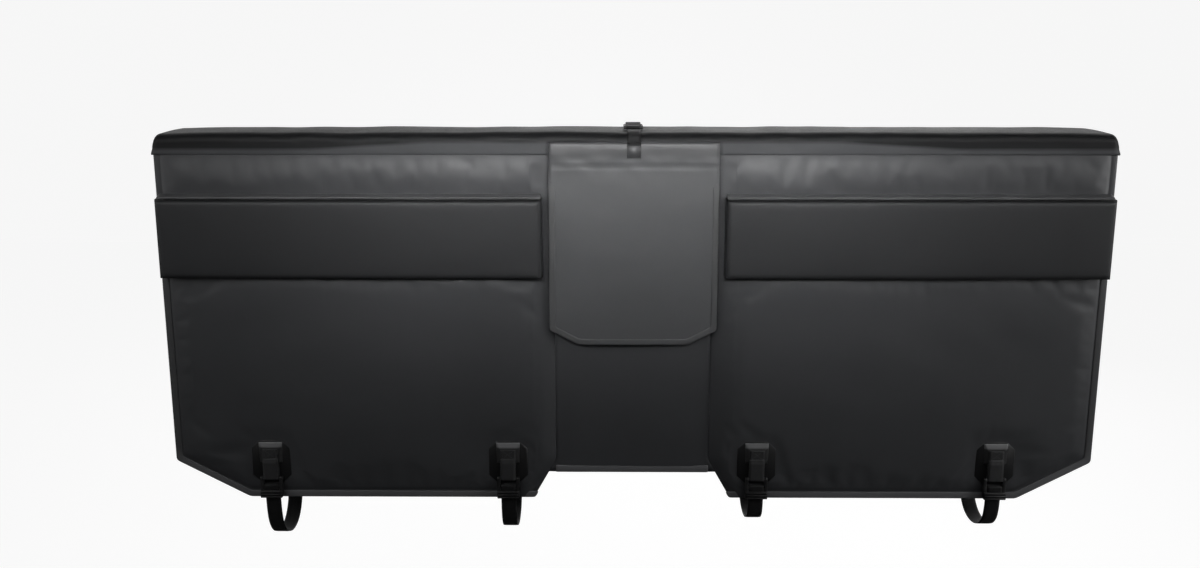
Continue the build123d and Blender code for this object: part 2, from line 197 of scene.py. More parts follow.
def webbing_material(name, colour):
    """Ribbed narrow weave: picks run across it, with firmer selvedges."""
    material = new_material(name, colour, 0.62, 0.25)
    shader = principled(material)
    shader.inputs["Sheen Weight"].default_value = 0.05
    shader.inputs["Sheen Roughness"].default_value = 0.4
    along = add(material, "ShaderNodeAttribute", attribute_name="along").outputs["Fac"]
    across = add(material, "ShaderNodeAttribute", attribute_name="across").outputs["Fac"]
    turn_a, turn_b = 2 * pi / (1.5 * MM), 2 * pi / (2.1 * MM)
    rib = maths(material, "SINE", maths(material, "MULTIPLY", along, turn_a))
    cord = maths(material, "SINE", maths(material, "MULTIPLY", across, turn_b))
    twill = maths(material, "SINE", maths(material, "ADD", maths(material, "MULTIPLY", along, turn_b),
                                          maths(material, "MULTIPLY", across, turn_b)))
    height = maths(material, "ADD", maths(material, "MULTIPLY", rib, 0.4),
                   maths(material, "ADD", maths(material, "MULTIPLY", cord, 0.35),
                         maths(material, "MULTIPLY", twill, 0.25)))
    place = add(material, "ShaderNodeTexCoord").outputs["Object"]
    fuzz = cloud(material, place, 900.0, 2.0)
    level = ramp(material, maths(material, "ADD", height, fuzz), 0.0, 1.0, -0.6, 1.6)
    to_shader(material, Base_Color=colour_ramp(material, level, tuple(c * 0.6 for c in colour),
                                               tuple(c * 1.5 for c in colour)))
    soft = bump(material, fuzz, 0.1 * MM, 0.4)
    to_shader(material, Normal=bump(material, height, 0.22 * MM, 0.8, soft))
    return material


def plastic_material(name, colour):
    """Moulded acetal: spark-eroded grain with faintly polished high spots."""
    material = new_material(name, colour, 0.42, 0.5)
    place = add(material, "ShaderNodeTexCoord").outputs["Object"]
    grain = cloud(material, place, 1800.0, 2.0, 0.6)
    wear = cloud(material, place, 120.0, 4.0, 0.6)
    to_shader(material, Roughness=ramp(material, wear, 0.34, 0.55, 0.3, 0.7),
              Base_Color=colour_ramp(material, wear, tuple(c * 0.85 for c in colour),
                                     tuple(c * 1.3 for c in colour)),
              Normal=bump(material, grain, 0.05 * MM, 0.5))
    return material


def fleece_material(name, colour):
    """Brushed lining: short pile in tufts."""
    material = new_material(name, colour, 0.95, 0.15)
    shader = principled(material)
    shader.inputs["Sheen Weight"].default_value = 0.6
    shader.inputs["Sheen Roughness"].default_value = 0.5
    place = add(material, "ShaderNodeTexCoord").outputs["Object"]
    tufts = cloud(material, place, 420.0, 5.0, 0.75)
    nap = cloud(material, place, 24.0, 3.0)
    mix = maths(material, "ADD", maths(material, "MULTIPLY", tufts, 0.6),
                maths(material, "MULTIPLY", nap, 0.4))
    to_shader(material, Base_Color=colour_ramp(material, mix, tuple(c * 0.6 for c in colour),
                                               tuple(c * 1.6 for c in colour)),
              Normal=bump(material, tufts, 0.7 * MM, 0.8))
    return material


def thread_material(name, colour):
    """Twisted polyester thread."""
    material = new_material(name, colour, 0.5, 0.4)
    place = add(material, "ShaderNodeTexCoord").outputs["Object"]
    ply = cloud(material, place, 2600.0, 2.0)
    to_shader(material, Base_Color=colour_ramp(material, ply, tuple(c * 0.7 for c in colour),
                                               tuple(c * 1.4 for c in colour)),
              Normal=bump(material, ply, 0.08 * MM, 0.6))
    return material


FABRIC = coated_fabric("coated_fabric", (0.040, 0.041, 0.044), 0.46)
FABRIC_TOP = coated_fabric("coated_fabric_top", (0.048, 0.049, 0.052), 0.50, 0.15, pitch=1.3 * MM)
FABRIC_FLAP = coated_fabric("coated_fabric_flap", (0.058, 0.059, 0.062), 0.46, folds=0.6)
FABRIC_BUMPER = coated_fabric("coated_fabric_bumper", (0.026, 0.0265, 0.028), 0.48, 0.25, pitch=1.3 * MM,
                              folds=0.6)


def paint_shade_by_height(material, shade, low_z, high_z, drop_outwards=0.0):
    """Painted shade: the colour is multiplied by shade past a height, fading in from low_z to high_z,
    standing in for light and shade on the cover.
    The dark part reaches lower by drop_outwards towards the two ends."""
    place = add(material, "ShaderNodeTexCoord").outputs["Object"]
    parts = add(material, "ShaderNodeSeparateXYZ", {0: place}).outputs
    outwards = maths(material, "ABSOLUTE", parts["X"])
    lower = ramp(material, outwards, 0.0, drop_outwards, 0.33, 0.52)
    share = ramp(material, maths(material, "ADD", parts["Z"], lower), 0.0, 1.0, low_z, high_z)
    # the painted shade: white where unshaded, the shade grey where fully shaded
    tint = colour_ramp(material, share, (1.0, 1.0, 1.0), (shade, shade, shade))
    own = principled(material).inputs["Base Color"].links[0].from_socket
    mixed = add(material, "ShaderNodeMix", {0: 1.0, 6: own, 7: tint}, data_type="RGBA",
                blend_type="MULTIPLY")
    to_shader(material, Base_Color=mixed.outputs[2])


# painted shade: the top roll darkened to 0.16 above about Z 0, and about 11 mm lower towards the two ends
paint_shade_by_height(FABRIC_TOP, 0.16, -3 * MM, 3 * MM, 11 * MM)
# painted shade: the flap, and the keeper patch cover, darkened to 0.72 above -20 mm, where they meet the
# roll
paint_shade_by_height(FABRIC_FLAP, 0.72, -30 * MM, -20 * MM)
# painted shadow line: the top 2.5 to 5 mm of each bumper darkened to 0.3
paint_shade_by_height(FABRIC_BUMPER, 0.3, BUMPER_HI[2] - 5 * MM, BUMPER_HI[2] - 2.5 * MM)
# pale tape colour; outside the wings' lower hems it is darkened below
TAPE = coated_fabric("hem_tape", (0.105, 0.106, 0.110), 0.40, pitch=1.1 * MM, folds=0.3)
# painted light: the tape is darkened to 0.55 above -520 mm, so the wings' lower hems stay pale as if lit
paint_shade_by_height(TAPE, 0.55, -550 * MM, -520 * MM)
# pale colour kept only at the pads' top bevels, as a painted highlight
PAD_COVER = coated_fabric("tie_pad_cover", (0.130, 0.131, 0.134), 0.42, pitch=1.1 * MM, folds=0.2)
# painted highlight: the pad cover is darkened to 0.16 below its top bevel
paint_shade_by_height(PAD_COVER, 0.16, PADS_HI[2] - 2 * MM, PADS_HI[2] - 5 * MM)
# near-black patch colour; on the tie-downs it also serves as painted shade round the locks
PATCH = coated_fabric("welded_patch", (0.009, 0.009, 0.0095), 0.46, 0.4, pitch=1.0 * MM, folds=0.2)
WEBBING = webbing_material("webbing", (0.006, 0.006, 0.0065))
TAB = webbing_material("webbing_tab", (0.026, 0.026, 0.027))
PLASTIC = plastic_material("buckle_plastic", (0.006, 0.006, 0.0065))
FLEECE = fleece_material("liner_fleece", (0.045, 0.045, 0.048))
THREAD = thread_material("thread", (0.02, 0.02, 0.021))


# ---- cloth -----------------------------------------------------------------------
CLOTH_FRAMES = 20


def settle(piece, held, slack, pressure, most):
    """Cloth held where held(place) is 1, a little larger than its frame, blown up from inside.
    Its own creases form in a few frames; nothing moves further than most."""
    mesh = piece.data
    group = piece.vertex_groups.new(name="held")
    for vert in mesh.vertices:
        weight = held(vert.co)
        if weight > 0.001:
            group.add([vert.index], weight, "REPLACE")
    modifier = piece.modifiers.new("cloth", "CLOTH")
    cloth = modifier.settings
    cloth.quality = 5
    cloth.mass = 0.3
    cloth.tension_stiffness = 12.0
    cloth.compression_stiffness = 12.0
    cloth.shear_stiffness = 6.0
    cloth.bending_stiffness = 0.6
    cloth.air_damping = 2.0
    cloth.vertex_group_mass = "held"
    cloth.use_pressure = True
    cloth.uniform_pressure_force = pressure
    cloth.shrink_min = -slack
    cloth.effector_weights.gravity = 0.0
    modifier.collision_settings.use_collision = False
    modifier.point_cache.frame_start = 1
    modifier.point_cache.frame_end = CLOTH_FRAMES
    scene = bpy.context.scene
    for frame_number in range(1, CLOTH_FRAMES + 1):
        scene.frame_set(frame_number)
    shaped = piece.evaluated_get(bpy.context.evaluated_depsgraph_get())
    places = [v.co.copy() for v in shaped.data.vertices]
    piece.modifiers.remove(modifier)
    piece.vertex_groups.remove(group)
    scene.frame_set(1)
    for vert, place in zip(mesh.vertices, places):
        move = place - vert.co
        if move.length > most:
            move = move.normalized() * (most + (move.length - most) * 0.1)
        if move.length < 4 * most:
            vert.co += move


# ---- mesh helpers ----------------------------------------------------------------
def make_piece(name, shape, material, body="pad", replaces=(), subdivide=0, soften=None):
    """A mesh object that rides on a body.
    shape is its vertices, its faces, and perhaps per-vertex numbers for its material."""
    verts, faces, *values = shape
    mesh = bpy.data.meshes.new(name)
    mesh.from_pydata([tuple(v) for v in verts], [], faces)
    for key, numbers in (values[0] if values else {}).items():
        layer = mesh.attributes.new(key, "FLOAT", "POINT")
        layer.data.foreach_set("value", numbers)
    work = bmesh.new()
    work.from_mesh(mesh)
    bmesh.ops.remove_doubles(work, verts=work.verts, dist=1e-6)
    bmesh.ops.recalc_face_normals(work, faces=work.faces)
    work.to_mesh(mesh)
    work.free()
    mesh.materials.append(material)
    for polygon in mesh.polygons:
        polygon.use_smooth = True
    piece = bpy.data.objects.new(name, mesh)
    bpy.context.scene.collection.objects.link(piece)
    if soften:
        settle(piece, *soften)
    if subdivide:
        modifier = piece.modifiers.new("smooth", "SUBSURF")
        modifier.levels = modifier.render_levels = subdivide
    if replaces:
        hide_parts(*replaces)
    if body:
        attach(piece, body)
    return piece


def inset(outline, widths):
    """Move each edge of a closed outline inwards by its own width."""
    nexts = outline[1:] + outline[:1]
    area = sum(a[0] * b[1] - b[0] * a[1] for a, b in zip(outline, nexts))
    side = 1 if area > 0 else -1
    lines = []
    for (ax, az), (bx, bz), width in zip(outline, nexts, widths):
        length = sqrt((bx - ax) ** 2 + (bz - az) ** 2)
        nx, nz = -side * (bz - az) / length, side * (bx - ax) / length
        lines.append((nx, nz, nx * ax + nz * az + width))
    moved = []
    for (a1, b1, c1), (a2, b2, c2) in zip(lines[-1:] + lines[:-1], lines):
        det = a1 * b2 - a2 * b1
        moved.append(((c1 * b2 - c2 * b1) / det, (a1 * c2 - a2 * c1) / det))
    return moved


def round_trip(outline, counts):
    """Points along a closed outline, with a number of steps on each edge."""
    points = []
    for (ax, az), (bx, bz), steps in zip(outline, outline[1:] + outline[:1], counts):
        points += [(ax + (bx - ax) * i / steps, az + (bz - az) * i / steps) for i in range(steps)]
    return points


def fill_patch(loop, columns, rows):
    """Interior points of a closed loop of 2 * (columns + rows) points, as a grid."""
    count = len(loop)
    top = [loop[i] for i in range(columns + 1)]
    right = [loop[columns + j] for j in range(rows + 1)]
    bottom = [loop[columns + rows + columns - i] for i in range(columns + 1)]
    left = [loop[(count - j) % count] for j in range(rows + 1)]
    grid = []
    for j in range(1, rows):
        v = j / rows
        line = []
        for i in range(1, columns):
            u = i / columns
            line.append(tuple(
                (1 - v) * top[i][k] + v * bottom[i][k] + (1 - u) * left[j][k] + u * right[j][k]
                - (1 - u) * (1 - v) * top[0][k] - u * (1 - v) * top[-1][k]
                - (1 - u) * v * bottom[0][k] - u * v * bottom[-1][k] for k in (0, 1)))
        grid.append(line)
    return grid


def disc_faces(ring, grid, columns, rows):
    """Quads between a ring's vertex numbers and the numbers of its interior grid."""
    def at(i, j):
        if j == 0:
            return ring[i]
        if j == rows:
            return ring[columns + rows + columns - i]
        if i == 0:
            return ring[(len(ring) - j) % len(ring)]
        if i == columns:
            return ring[columns + j]
        return grid[j - 1][i - 1]
    return [(at(i, j), at(i + 1, j), at(i + 1, j + 1), at(i, j + 1))
            for j in range(rows) for i in range(columns)]


def grid_faces(columns, rows):
    """Quads over a grid of points that is listed row by row."""
    return [(j * columns + i, j * columns + i + 1, (j + 1) * columns + i + 1, (j + 1) * columns + i)
            for j in range(rows - 1) for i in range(columns - 1)]


def ring_faces(count, rings):
    """Quads between closed rings of count points each, listed ring by ring."""
    return [(j * count + i, j * count + (i + 1) % count, (j + 1) * count + (i + 1) % count,
             (j + 1) * count + i)
            for j in range(rings - 1) for i in range(count)]


def padded_shell(outline, counts, columns, rows, rings, back_y, height, edge=None):
    """Closed pad: rings of (inset widths, y) climb from its back edge to its face.
    height(x, z) is added to the face's y, and faded in over the rings.
    edge(x, z, y) may give any point past the first ring another y."""
    verts, faces, loops = [], [], []
    if edge is None:
        def edge(x, z, y):
            return y
    for index, (widths, y) in enumerate(rings):
        share = max(0.0, (index - len(rings) / 2) / (len(rings) / 2))
        loop = round_trip(inset(outline, widths), counts)
        loops.append(list(range(len(verts), len(verts) + len(loop))))
        if index == 0:
            verts += [(x, y, z) for x, z in loop]
        else:
            verts += [(x, edge(x, z, y + share * height(x, z)), z) for x, z in loop]
    last = round_trip(inset(outline, rings[-1][0]), counts)
    face_y = rings[-1][1]
    grid = fill_patch(last, columns, rows)
    numbers = []
    for line in grid:
        numbers.append(list(range(len(verts), len(verts) + len(line))))
        verts += [(x, edge(x, z, face_y + height(x, z)), z) for x, z in line]
    faces += ring_faces(len(last), len(rings))
    faces += disc_faces(loops[-1], numbers, columns, rows)
    first = round_trip(inset(outline, rings[0][0]), counts)
    numbers = []
    for line in fill_patch(first, columns, rows):
        numbers.append(list(range(len(verts), len(verts) + len(line))))
        verts += [(x, back_y, z) for x, z in line]
    faces += disc_faces(loops[0], numbers, columns, rows)
    return verts, faces


def band(profile_loops, ends=True):
    """Closed band from loops of points: a strip's section carried round an outline."""
    verts, faces, rows = [], [], []
    for loop in profile_loops:
        rows.append(list(range(len(verts), len(verts) + len(loop))))
        verts += loop
    for one, two in zip(rows, rows[1:] + rows[:1]):
        faces += [(one[i], one[i + 1], two[i + 1], two[i]) for i in range(len(one) - 1)]
    if ends:
        faces.append([row[0] for row in rows])
        faces.append([row[-1] for row in reversed(rows)])
    return verts, faces


def flip(outline, side):
    return outline if side > 0 else [(-x, z) for x, z in outline]


def ripple(x, z, size, seed):
    """Smooth noise between -1 and 1 with bumps about this size."""
    return noise.noise(Vector((x / size, seed, z / size)))


def ribbon(points, width_dir, width, thickness):
    """Webbing along points: flat oval section with rounded selvedges, and closed ends.
    Returns vertices, faces and the material's along and across values."""
    width_dir = Vector(width_dir).normalized()
    section = []
    steps = 6
    for i in range(steps + 1):
        t = -1 + 2 * i / steps
        section.append((t * width / 2, thickness / 2 * (1 if abs(t) < 0.99 else 0.55)))
    section += [(a, -b) for a, b in reversed(section)]
    verts, along, across = [], [], []
    travelled = 0.0
    count = len(section)
    for index, point in enumerate(points):
        ahead = points[min(index + 1, len(points) - 1)]
        behind = points[max(index - 1, 0)]
        tangent = (ahead - behind).normalized()
        normal = width_dir.cross(tangent).normalized()
        if index:
            travelled += (point - points[index - 1]).length
        for a, b in section:
            verts.append(point + width_dir * a + normal * b)
            along.append(travelled)
            across.append(a)
    faces = ring_faces(count, len(points))
    faces.append(list(range(count)))
    faces.append(list(range(len(verts) - count, len(verts)))[::-1])
    return verts, faces, {"along": along, "across": across}


def join_parts(parts):
    """Several (vertices, faces) or (vertices, faces, values) as one."""
    verts, faces, values = [], [], {}
    for part in parts:
        base = len(verts)
        verts += list(part[0])
        faces += [[i + base for i in face] for face in part[1]]
        for key, numbers in (part[2] if len(part) > 2 else {}).items():
            values.setdefault(key, []).extend(numbers)
    return verts, faces, values


def soft_block(lo, hi, bevel, segments=2):
    """A box with rounded edges, as (vertices, faces)."""
    work = bmesh.new()
    bmesh.ops.create_cube(work, size=1.0)
    size = Vector(hi) - Vector(lo)
    middle = (Vector(hi) + Vector(lo)) / 2
    for vert in work.verts:
        vert.co = Vector([vert.co[k] * size[k] + middle[k] for k in range(3)])
    bmesh.ops.bevel(work, geom=work.edges[:], offset=bevel, segments=segments, profile=0.6,
                    affect="EDGES", clamp_overlap=True)
    result = ([v.co.copy() for v in work.verts], [[v.index for v in f.verts] for f in work.faces])
    work.free()
    return result


def round_bar(start, end, radius, sides=14, cap=0.25):
    """A bar with slightly domed ends."""
    start, end = Vector(start), Vector(end)
    axis = (end - start).normalized()
    side = axis.orthogonal().normalized()
    other = axis.cross(side)
    length = (end - start).length
    spots = [(0.0, 0.62), (cap * radius, 1.0), (length - cap * radius, 1.0), (length, 0.62)]
    verts = []
    for along, share in spots:
        for i in range(sides):
            angle = 2 * pi * i / sides
            verts.append(start + axis * along
                         + (side * cos(angle) + other * sin(angle)) * radius * share)
    faces = ring_faces(sides, len(spots))
    faces.append(list(range(sides))[::-1])
    faces.append([(len(spots) - 1) * sides + i for i in range(sides)])
    return verts, faces


def stitch_row(start, end, normal, pitch=3.2 * MM, length=2.3 * MM, radius=0.32 * MM):
    """Thread lying on a surface: one short bead for each stitch."""
    start, end, normal = Vector(start), Vector(end), Vector(normal).normalized()
    run = end - start
    number = max(1, int(run.length / pitch))
    parts = []
    for i in range(number):
        middle = start + run * ((i + 0.5) / number) + normal * radius * 0.35
        reach = run.normalized() * length / 2
        parts.append(round_bar(middle - reach, middle + reach, radius, sides=6, cap=1.2))
    return parts


def box_x(centre, across, up, half_w, half_h, normal):
    """A stitched box with a cross in it."""
    centre, across, up = Vector(centre), Vector(across), Vector(up)
    corner = [centre + across * sx * half_w + up * sz * half_h
              for sx, sz in ((-1, -1), (1, -1), (1, 1), (-1, 1))]
    parts = []
    for a, b in ((0, 1), (1, 2), (2, 3), (3, 0), (0, 2), (1, 3)):
        parts += stitch_row(corner[a], corner[b], normal, 2.6 * MM, 2.0 * MM, 0.3 * MM)
    return parts


def slab(points, faces, offset):
    """A surface given thickness: its copy moved by offset, and sides on its open edges."""
    count = len(points)
    verts = [Vector(p) for p in points] + [Vector(p) + Vector(offset) for p in points]
    edges = {}
    for face in faces:
        for a, b in zip(face, list(face[1:]) + [face[0]]):
            edges[(a, b)] = edges.get((a, b), 0) + 1
    solid = [list(f) for f in faces] + [[i + count for i in reversed(f)] for f in faces]
    for a, b in edges:
        if (b, a) not in edges:
            solid.append([b, a, a + count, b + count])
    return verts, solid


def prism(outline, y_back, y_face, bevel):
    """A flat patch from an X-Z outline, with a bevelled rim."""
    rings = [(0.0, y_back), (0.0, y_face + (y_back - y_face) * 0.4), (bevel, y_face)]
    verts, count = [], len(outline)
    for width, y in rings:
        verts += [(x, y, z) for x, z in inset(outline, [width] * count)]
    faces = ring_faces(count, len(rings))
    faces.append(list(range(count)))
    faces.append([2 * count + i for i in range(count)])
    return verts, faces


def octagon(x, z, half_w, half_h, cut):
    return [(x - half_w + cut, z + half_h), (x + half_w - cut, z + half_h),
            (x + half_w, z + half_h - cut), (x + half_w, z - half_h + cut),
            (x + half_w - cut, z - half_h), (x - half_w + cut, z - half_h),
            (x - half_w, z - half_h + cut), (x - half_w, z + half_h - cut)]


def arc(y, z, radius, start, end, steps):
    """Points round (y, z) between two angles in degrees, 0 towards +Y and 90 up."""
    return [(y + radius * cos(radians(start + (end - start) * i / steps)),
             z + radius * sin(radians(start + (end - start) * i / steps))) for i in range(steps + 1)]


def spread(low, high, step):
    """Values from low to high, both kept, about this far apart."""
    number = max(1, round(abs(high - low) / step))
    return [low + (high - low) * i / number for i in range(number + 1)]


def smooth(t):
    t = min(1.0, max(0.0, t))
    return t * t * (3 - 2 * t)


# ---- outer wall: wings ------------------------------------------------------------
SLOPE = [0.0, 1.5 * MM, 3 * MM, 3 * MM, 14.5 * MM, 29 * MM]   # each edge, before the face starts


def wing_rings():
    rings = []
    for share, past, y in ((0.0, 0.0, PAD_IN), (0.35, 0.0, PAD_IN - 5.0 * MM),
                           (0.75, 0.0, PAD_IN - 9.8 * MM), (0.95, 0.0, PAD_IN - 11.3 * MM),
                           (1.0, 4.0 * MM, PAD_IN - 11.8 * MM), (1.0, 8.6 * MM, PAD_IN - 11.6 * MM),
                           (1.0, 9.6 * MM, PAD_IN - 11.1 * MM), (1.0, 11.0 * MM, PAD_IN - 11.3 * MM),
                           (1.0, 14.0 * MM, PAD_IN - 12.5 * MM), (1.0, 18.0 * MM, PAD_IN - 13.4 * MM),
                           (1.0, 26.0 * MM, PAD_IN - 13.9 * MM)):
        widths = [share * s + past for s in SLOPE]
        widths[0] = 0.0002 * len(rings)
        rings.append((widths, y))
    return rings


def wing_height(side):
    """How far the padding of a wing stands off its flat face, outwards being negative."""
    seed = 3.1 if side > 0 else 8.7

    def height(x, z):
        away = min(abs(abs(x) - HALF), abs(z - WING_BOTTOM), abs(z - SEAM_Z) * 1.5)
        crown = 1.6 * MM * smooth(away / (90 * MM))
        slow = 1.8 * MM * ripple(x, z, 0.16, seed) + 0.9 * MM * ripple(x, z, 0.065, seed + 2)
        slow += 1.2 * MM * smooth((z + 0.12) / 0.04) * ripple(x, z * 2, 0.07, seed + 5)
        pull = 0.0
        for station in STATIONS:
            dx, dz = x - station, z - TIE_Z
            pull += 1.4 * MM * exp(-(dx * dx + dz * dz) / (0.05 ** 2))
        gather = 0.35 * MM * sin(abs(x) * 2 * pi / 0.034 + 3 * ripple(x, z, 0.1, seed)) \
            * exp(-abs(z - SEAM_Z) / 0.012)
        return -crown + slow * smooth(away / (50 * MM)) + pull + gather
    return height


def inner_roll(x, z, y):
    """The wing rolls down to the middle in one soft slope; high up the roll is tight."""
    x = abs(x)
    lean = (WING_FLARE - WING_IN) / (TURN_Z - WING_BOTTOM)
    away = x - WING_IN if z > TURN_Z else (x - WING_IN - lean * (TURN_Z - z)) / sqrt(1 + lean * lean)
    width = (36 if z > TURN_Z else 36 - 14 * smooth((TURN_Z - z) / 0.05)) * MM
    width -= 27 * MM * smooth((z + 0.125) / 0.045)
    share = min(1.0, max(0.0, away / width))
    low = PAD_IN - 13.6 * MM * sin(pi / 2 * share) ** 1.15
    keep = smooth((away - 42 * MM) / (16 * MM))
    return low + (y - low) * keep


def wing_outline(side, top, grow=0.0):
    points = [(WING_IN, top), (HALF, top), (HALF, TURN_Z), (CHAMFER_X, WING_BOTTOM),
              (WING_FLARE, WING_BOTTOM), (WING_IN, TURN_Z)]
    points = inset(points, [0.0] + [grow] * 5)
    return flip(points, side)


def held_wing(place):
    """1 on the wing's back and rim, under the bumper and round the tie-downs; 0 where it is free."""
    x, y, z = abs(place.x), place.y, place.z
    if y > PAD_IN - 9 * MM:
        return 1.0
    chamfer = ((HALF - x) * (TURN_Z - WING_BOTTOM) + (z - TURN_Z) * (HALF - CHAMFER_X)) \
        / sqrt((HALF - CHAMFER_X) ** 2 + (TURN_Z - WING_BOTTOM) ** 2)
    rim = min(HALF - x, z - WING_BOTTOM, chamfer, SEAM_Z - z + 6 * MM, x - WING_IN - 8 * MM)
    firm = 1 - smooth((rim - 13 * MM) / (12 * MM))
    under = BUMPER_LO[0] - 4 * MM < x < BUMPER_HI[0] + 4 * MM \
        and BUMPER_LO[2] - 4 * MM < z < BUMPER_HI[2] + 11 * MM
    if under:
        firm = 1.0
    for station in STATIONS:
        away = sqrt((abs(station) - x) ** 2 + (z - TIE_Z) ** 2)
        firm = max(firm, 1 - smooth((away - 30 * MM) / (20 * MM)))
    return firm


COUNTS = [84, 64, 12, 84, 12, 64]
for side, label in ((-1, "left"), (1, "right")):
    shape = padded_shell(wing_outline(side, SEAM_Z + 2 * MM), COUNTS, 84, 76, wing_rings(),
                         PAD_IN, wing_height(side), inner_roll)
    make_piece(f"wing_{label}", shape, FABRIC,
               replaces=[f"front_cover_{label}", f"front_foam_{label}"], subdivide=1,
               soften=(held_wing, 0.004, 1.5, 3 * MM))

    # hem tape round the outer, lower and inner edges of the face
    face = PAD_IN - 11.8 * MM
    tape_t = 0.5 * MM
    hem_top = BUMPER_LO[2] - 1 * MM
    outer = wing_outline(side, hem_top)
    section = [(-3.4, PAD_IN - 4 * MM), (-3.6, face + 1.5 * MM), (-2.7, face - tape_t * 0.7),
               (-1.4, face - tape_t),
               (4.5, face - tape_t - 0.25 * MM), (7.8, face - tape_t), (9.0, face - tape_t * 0.2),
               (8.0, face + 0.6 * MM), (-1.8, face + 0.6 * MM), (-2.0, PAD_IN - 4 * MM)]
    loops = []
    for near, y in section:
        width = (near + 3.0) * MM
        corners = inset(outer, [0.0, width, width, width, 1.0 * MM, 0.0])[1:5]
        line = []
        for (ax, az), (bx, bz), steps in zip(corners, corners[1:], (50, 16, 76)):
            line += [(ax + (bx - ax) * i / steps, az + (bz - az) * i / steps) for i in range(steps)]
        line.append(corners[-1])
        loops.append([(x, y + 0.12 * MM * ripple(x, z, 0.012, 5.5), z) for x, z in line])
    shape = band(loops)
    make_piece(f"wing_hem_{label}", shape, TAPE, replaces=[f"hem_{label}"],
               subdivide=1)

    # lining on the side against the tailgate
    lining = inset(wing_outline(side, 0.0), [0.0] + [1.2 * MM] * 3 + [7 * MM] * 2)
    nap = [([0.0] * 6, PAD_IN), ([0.0002] * 6, PAD_IN + 0.6 * MM), ([0.0008] * 6, IN_FACE - 0.2 * MM),
           ([0.003] * 6, IN_FACE - 0.15 * MM)]
    shape = padded_shell(lining, [48, 36, 6, 48, 6, 36], 48, 42, nap, PAD_IN,
                         lambda x, z: -0.12 * MM * (1 + ripple(x, z, 0.02, 1.5)))
    make_piece(f"wing_lining_{label}", shape, FLEECE,
               replaces=[f"front_liner_{label}"])

# ---- bumpers ----------------------------------------------------------------------
BEVEL = 6 * MM
for side, label in ((-1, "left"), (1, "right")):
    x0, x1, z0, z1 = BUMPER_LO[0], BUMPER_HI[0], BUMPER_LO[2], BUMPER_HI[2]
    outline = flip([(x0, z1), (x1, z1), (x1, z0), (x0, z0)], side)
    front = BUMPER_LO[1]
    rings = [(0.0, FACE + 1.5 * MM), (0.2 * MM, FACE - 1.0 * MM), (0.3 * MM, FACE - 8 * MM),
             (0.4 * MM, front + 8.4 * MM), (1.5 * MM, front + 7.6 * MM), (1.3 * MM, front + 6.9 * MM),
             (0.9 * MM, front + 6.2 * MM), (2.2 * MM, front + 4.0 * MM),
             (BEVEL - 1.6 * MM, front + 1.4 * MM),
             (BEVEL, front + 0.5 * MM), (BEVEL + 2.0 * MM, front + 0.1 * MM),
             (BEVEL + 7 * MM, front - 0.2 * MM)]
    seed = 21.0 + side

    def swell(x, z, seed=seed, side=side):
        mid_x, mid_z = (x0 + x1) / 2 * side, (z0 + z1) / 2
        u, v = (x - mid_x) / (x1 - x0) * 2, (z - mid_z) / (z1 - z0) * 2
        crown = 1.1 * MM * (1 - u ** 4) * (1 - v * v)
        return -crown + 0.5 * MM * ripple(x, z, 0.12, seed) + 0.25 * MM * ripple(x, z, 0.05, seed)
    shape = padded_shell(outline, [90, 20, 90, 20], 90, 20,
                         [([w, w, w * 1.35, w], y) for w, y in rings], FACE + 1.5 * MM, swell)
    make_piece(f"bumper_{label}", shape, FABRIC_BUMPER,
               replaces=[f"bumper_cover_{label}", f"bumper_foam_{label}"])

    # strip that joins the bumper to the wall, over its upper side and up the wall; its pale tape colour is
    # partly painted light, so the bumper's upper side reads as lit
    xs = [side * x for x in spread(x0 + 1 * MM, x1 - 1 * MM, 0.006)]
    rows = []
    for y, z in ((FACE - 2.2 * MM, z1 + 6.2 * MM), (FACE - 2.8 * MM, z1 + 5.8 * MM),
                 (FACE - 4.5 * MM, z1 + 4.8 * MM),
                 (FACE - 8.0 * MM, z1 + 3.6 * MM), (FACE - 13 * MM, z1 + 2.4 * MM),
                 (front + 12 * MM, z1 + 1.0 * MM),
                 (front + 9.4 * MM, z1 + 0.3 * MM), (front + 8.2 * MM, z1 - 0.5 * MM)):
        rows.append([(x, y, z + 0.5 * MM * ripple(x, z, 0.025, 17.0)) for x in xs])
    points = [point for row in rows for point in row]
    shape = slab(points, grid_faces(len(xs), len(rows)), (0, 0.9 * MM, -0.9 * MM))
    make_piece(f"bumper_strip_{label}", shape, TAPE, subdivide=1)

# ---- middle -----------------------------------------------------------------------
window_half, window_low, window_high = 98 * MM, WINDOW_LO[2] + 12 * MM, WINDOW_HI[2] - 12 * MM
centre_face = CENTRE_LO[1]


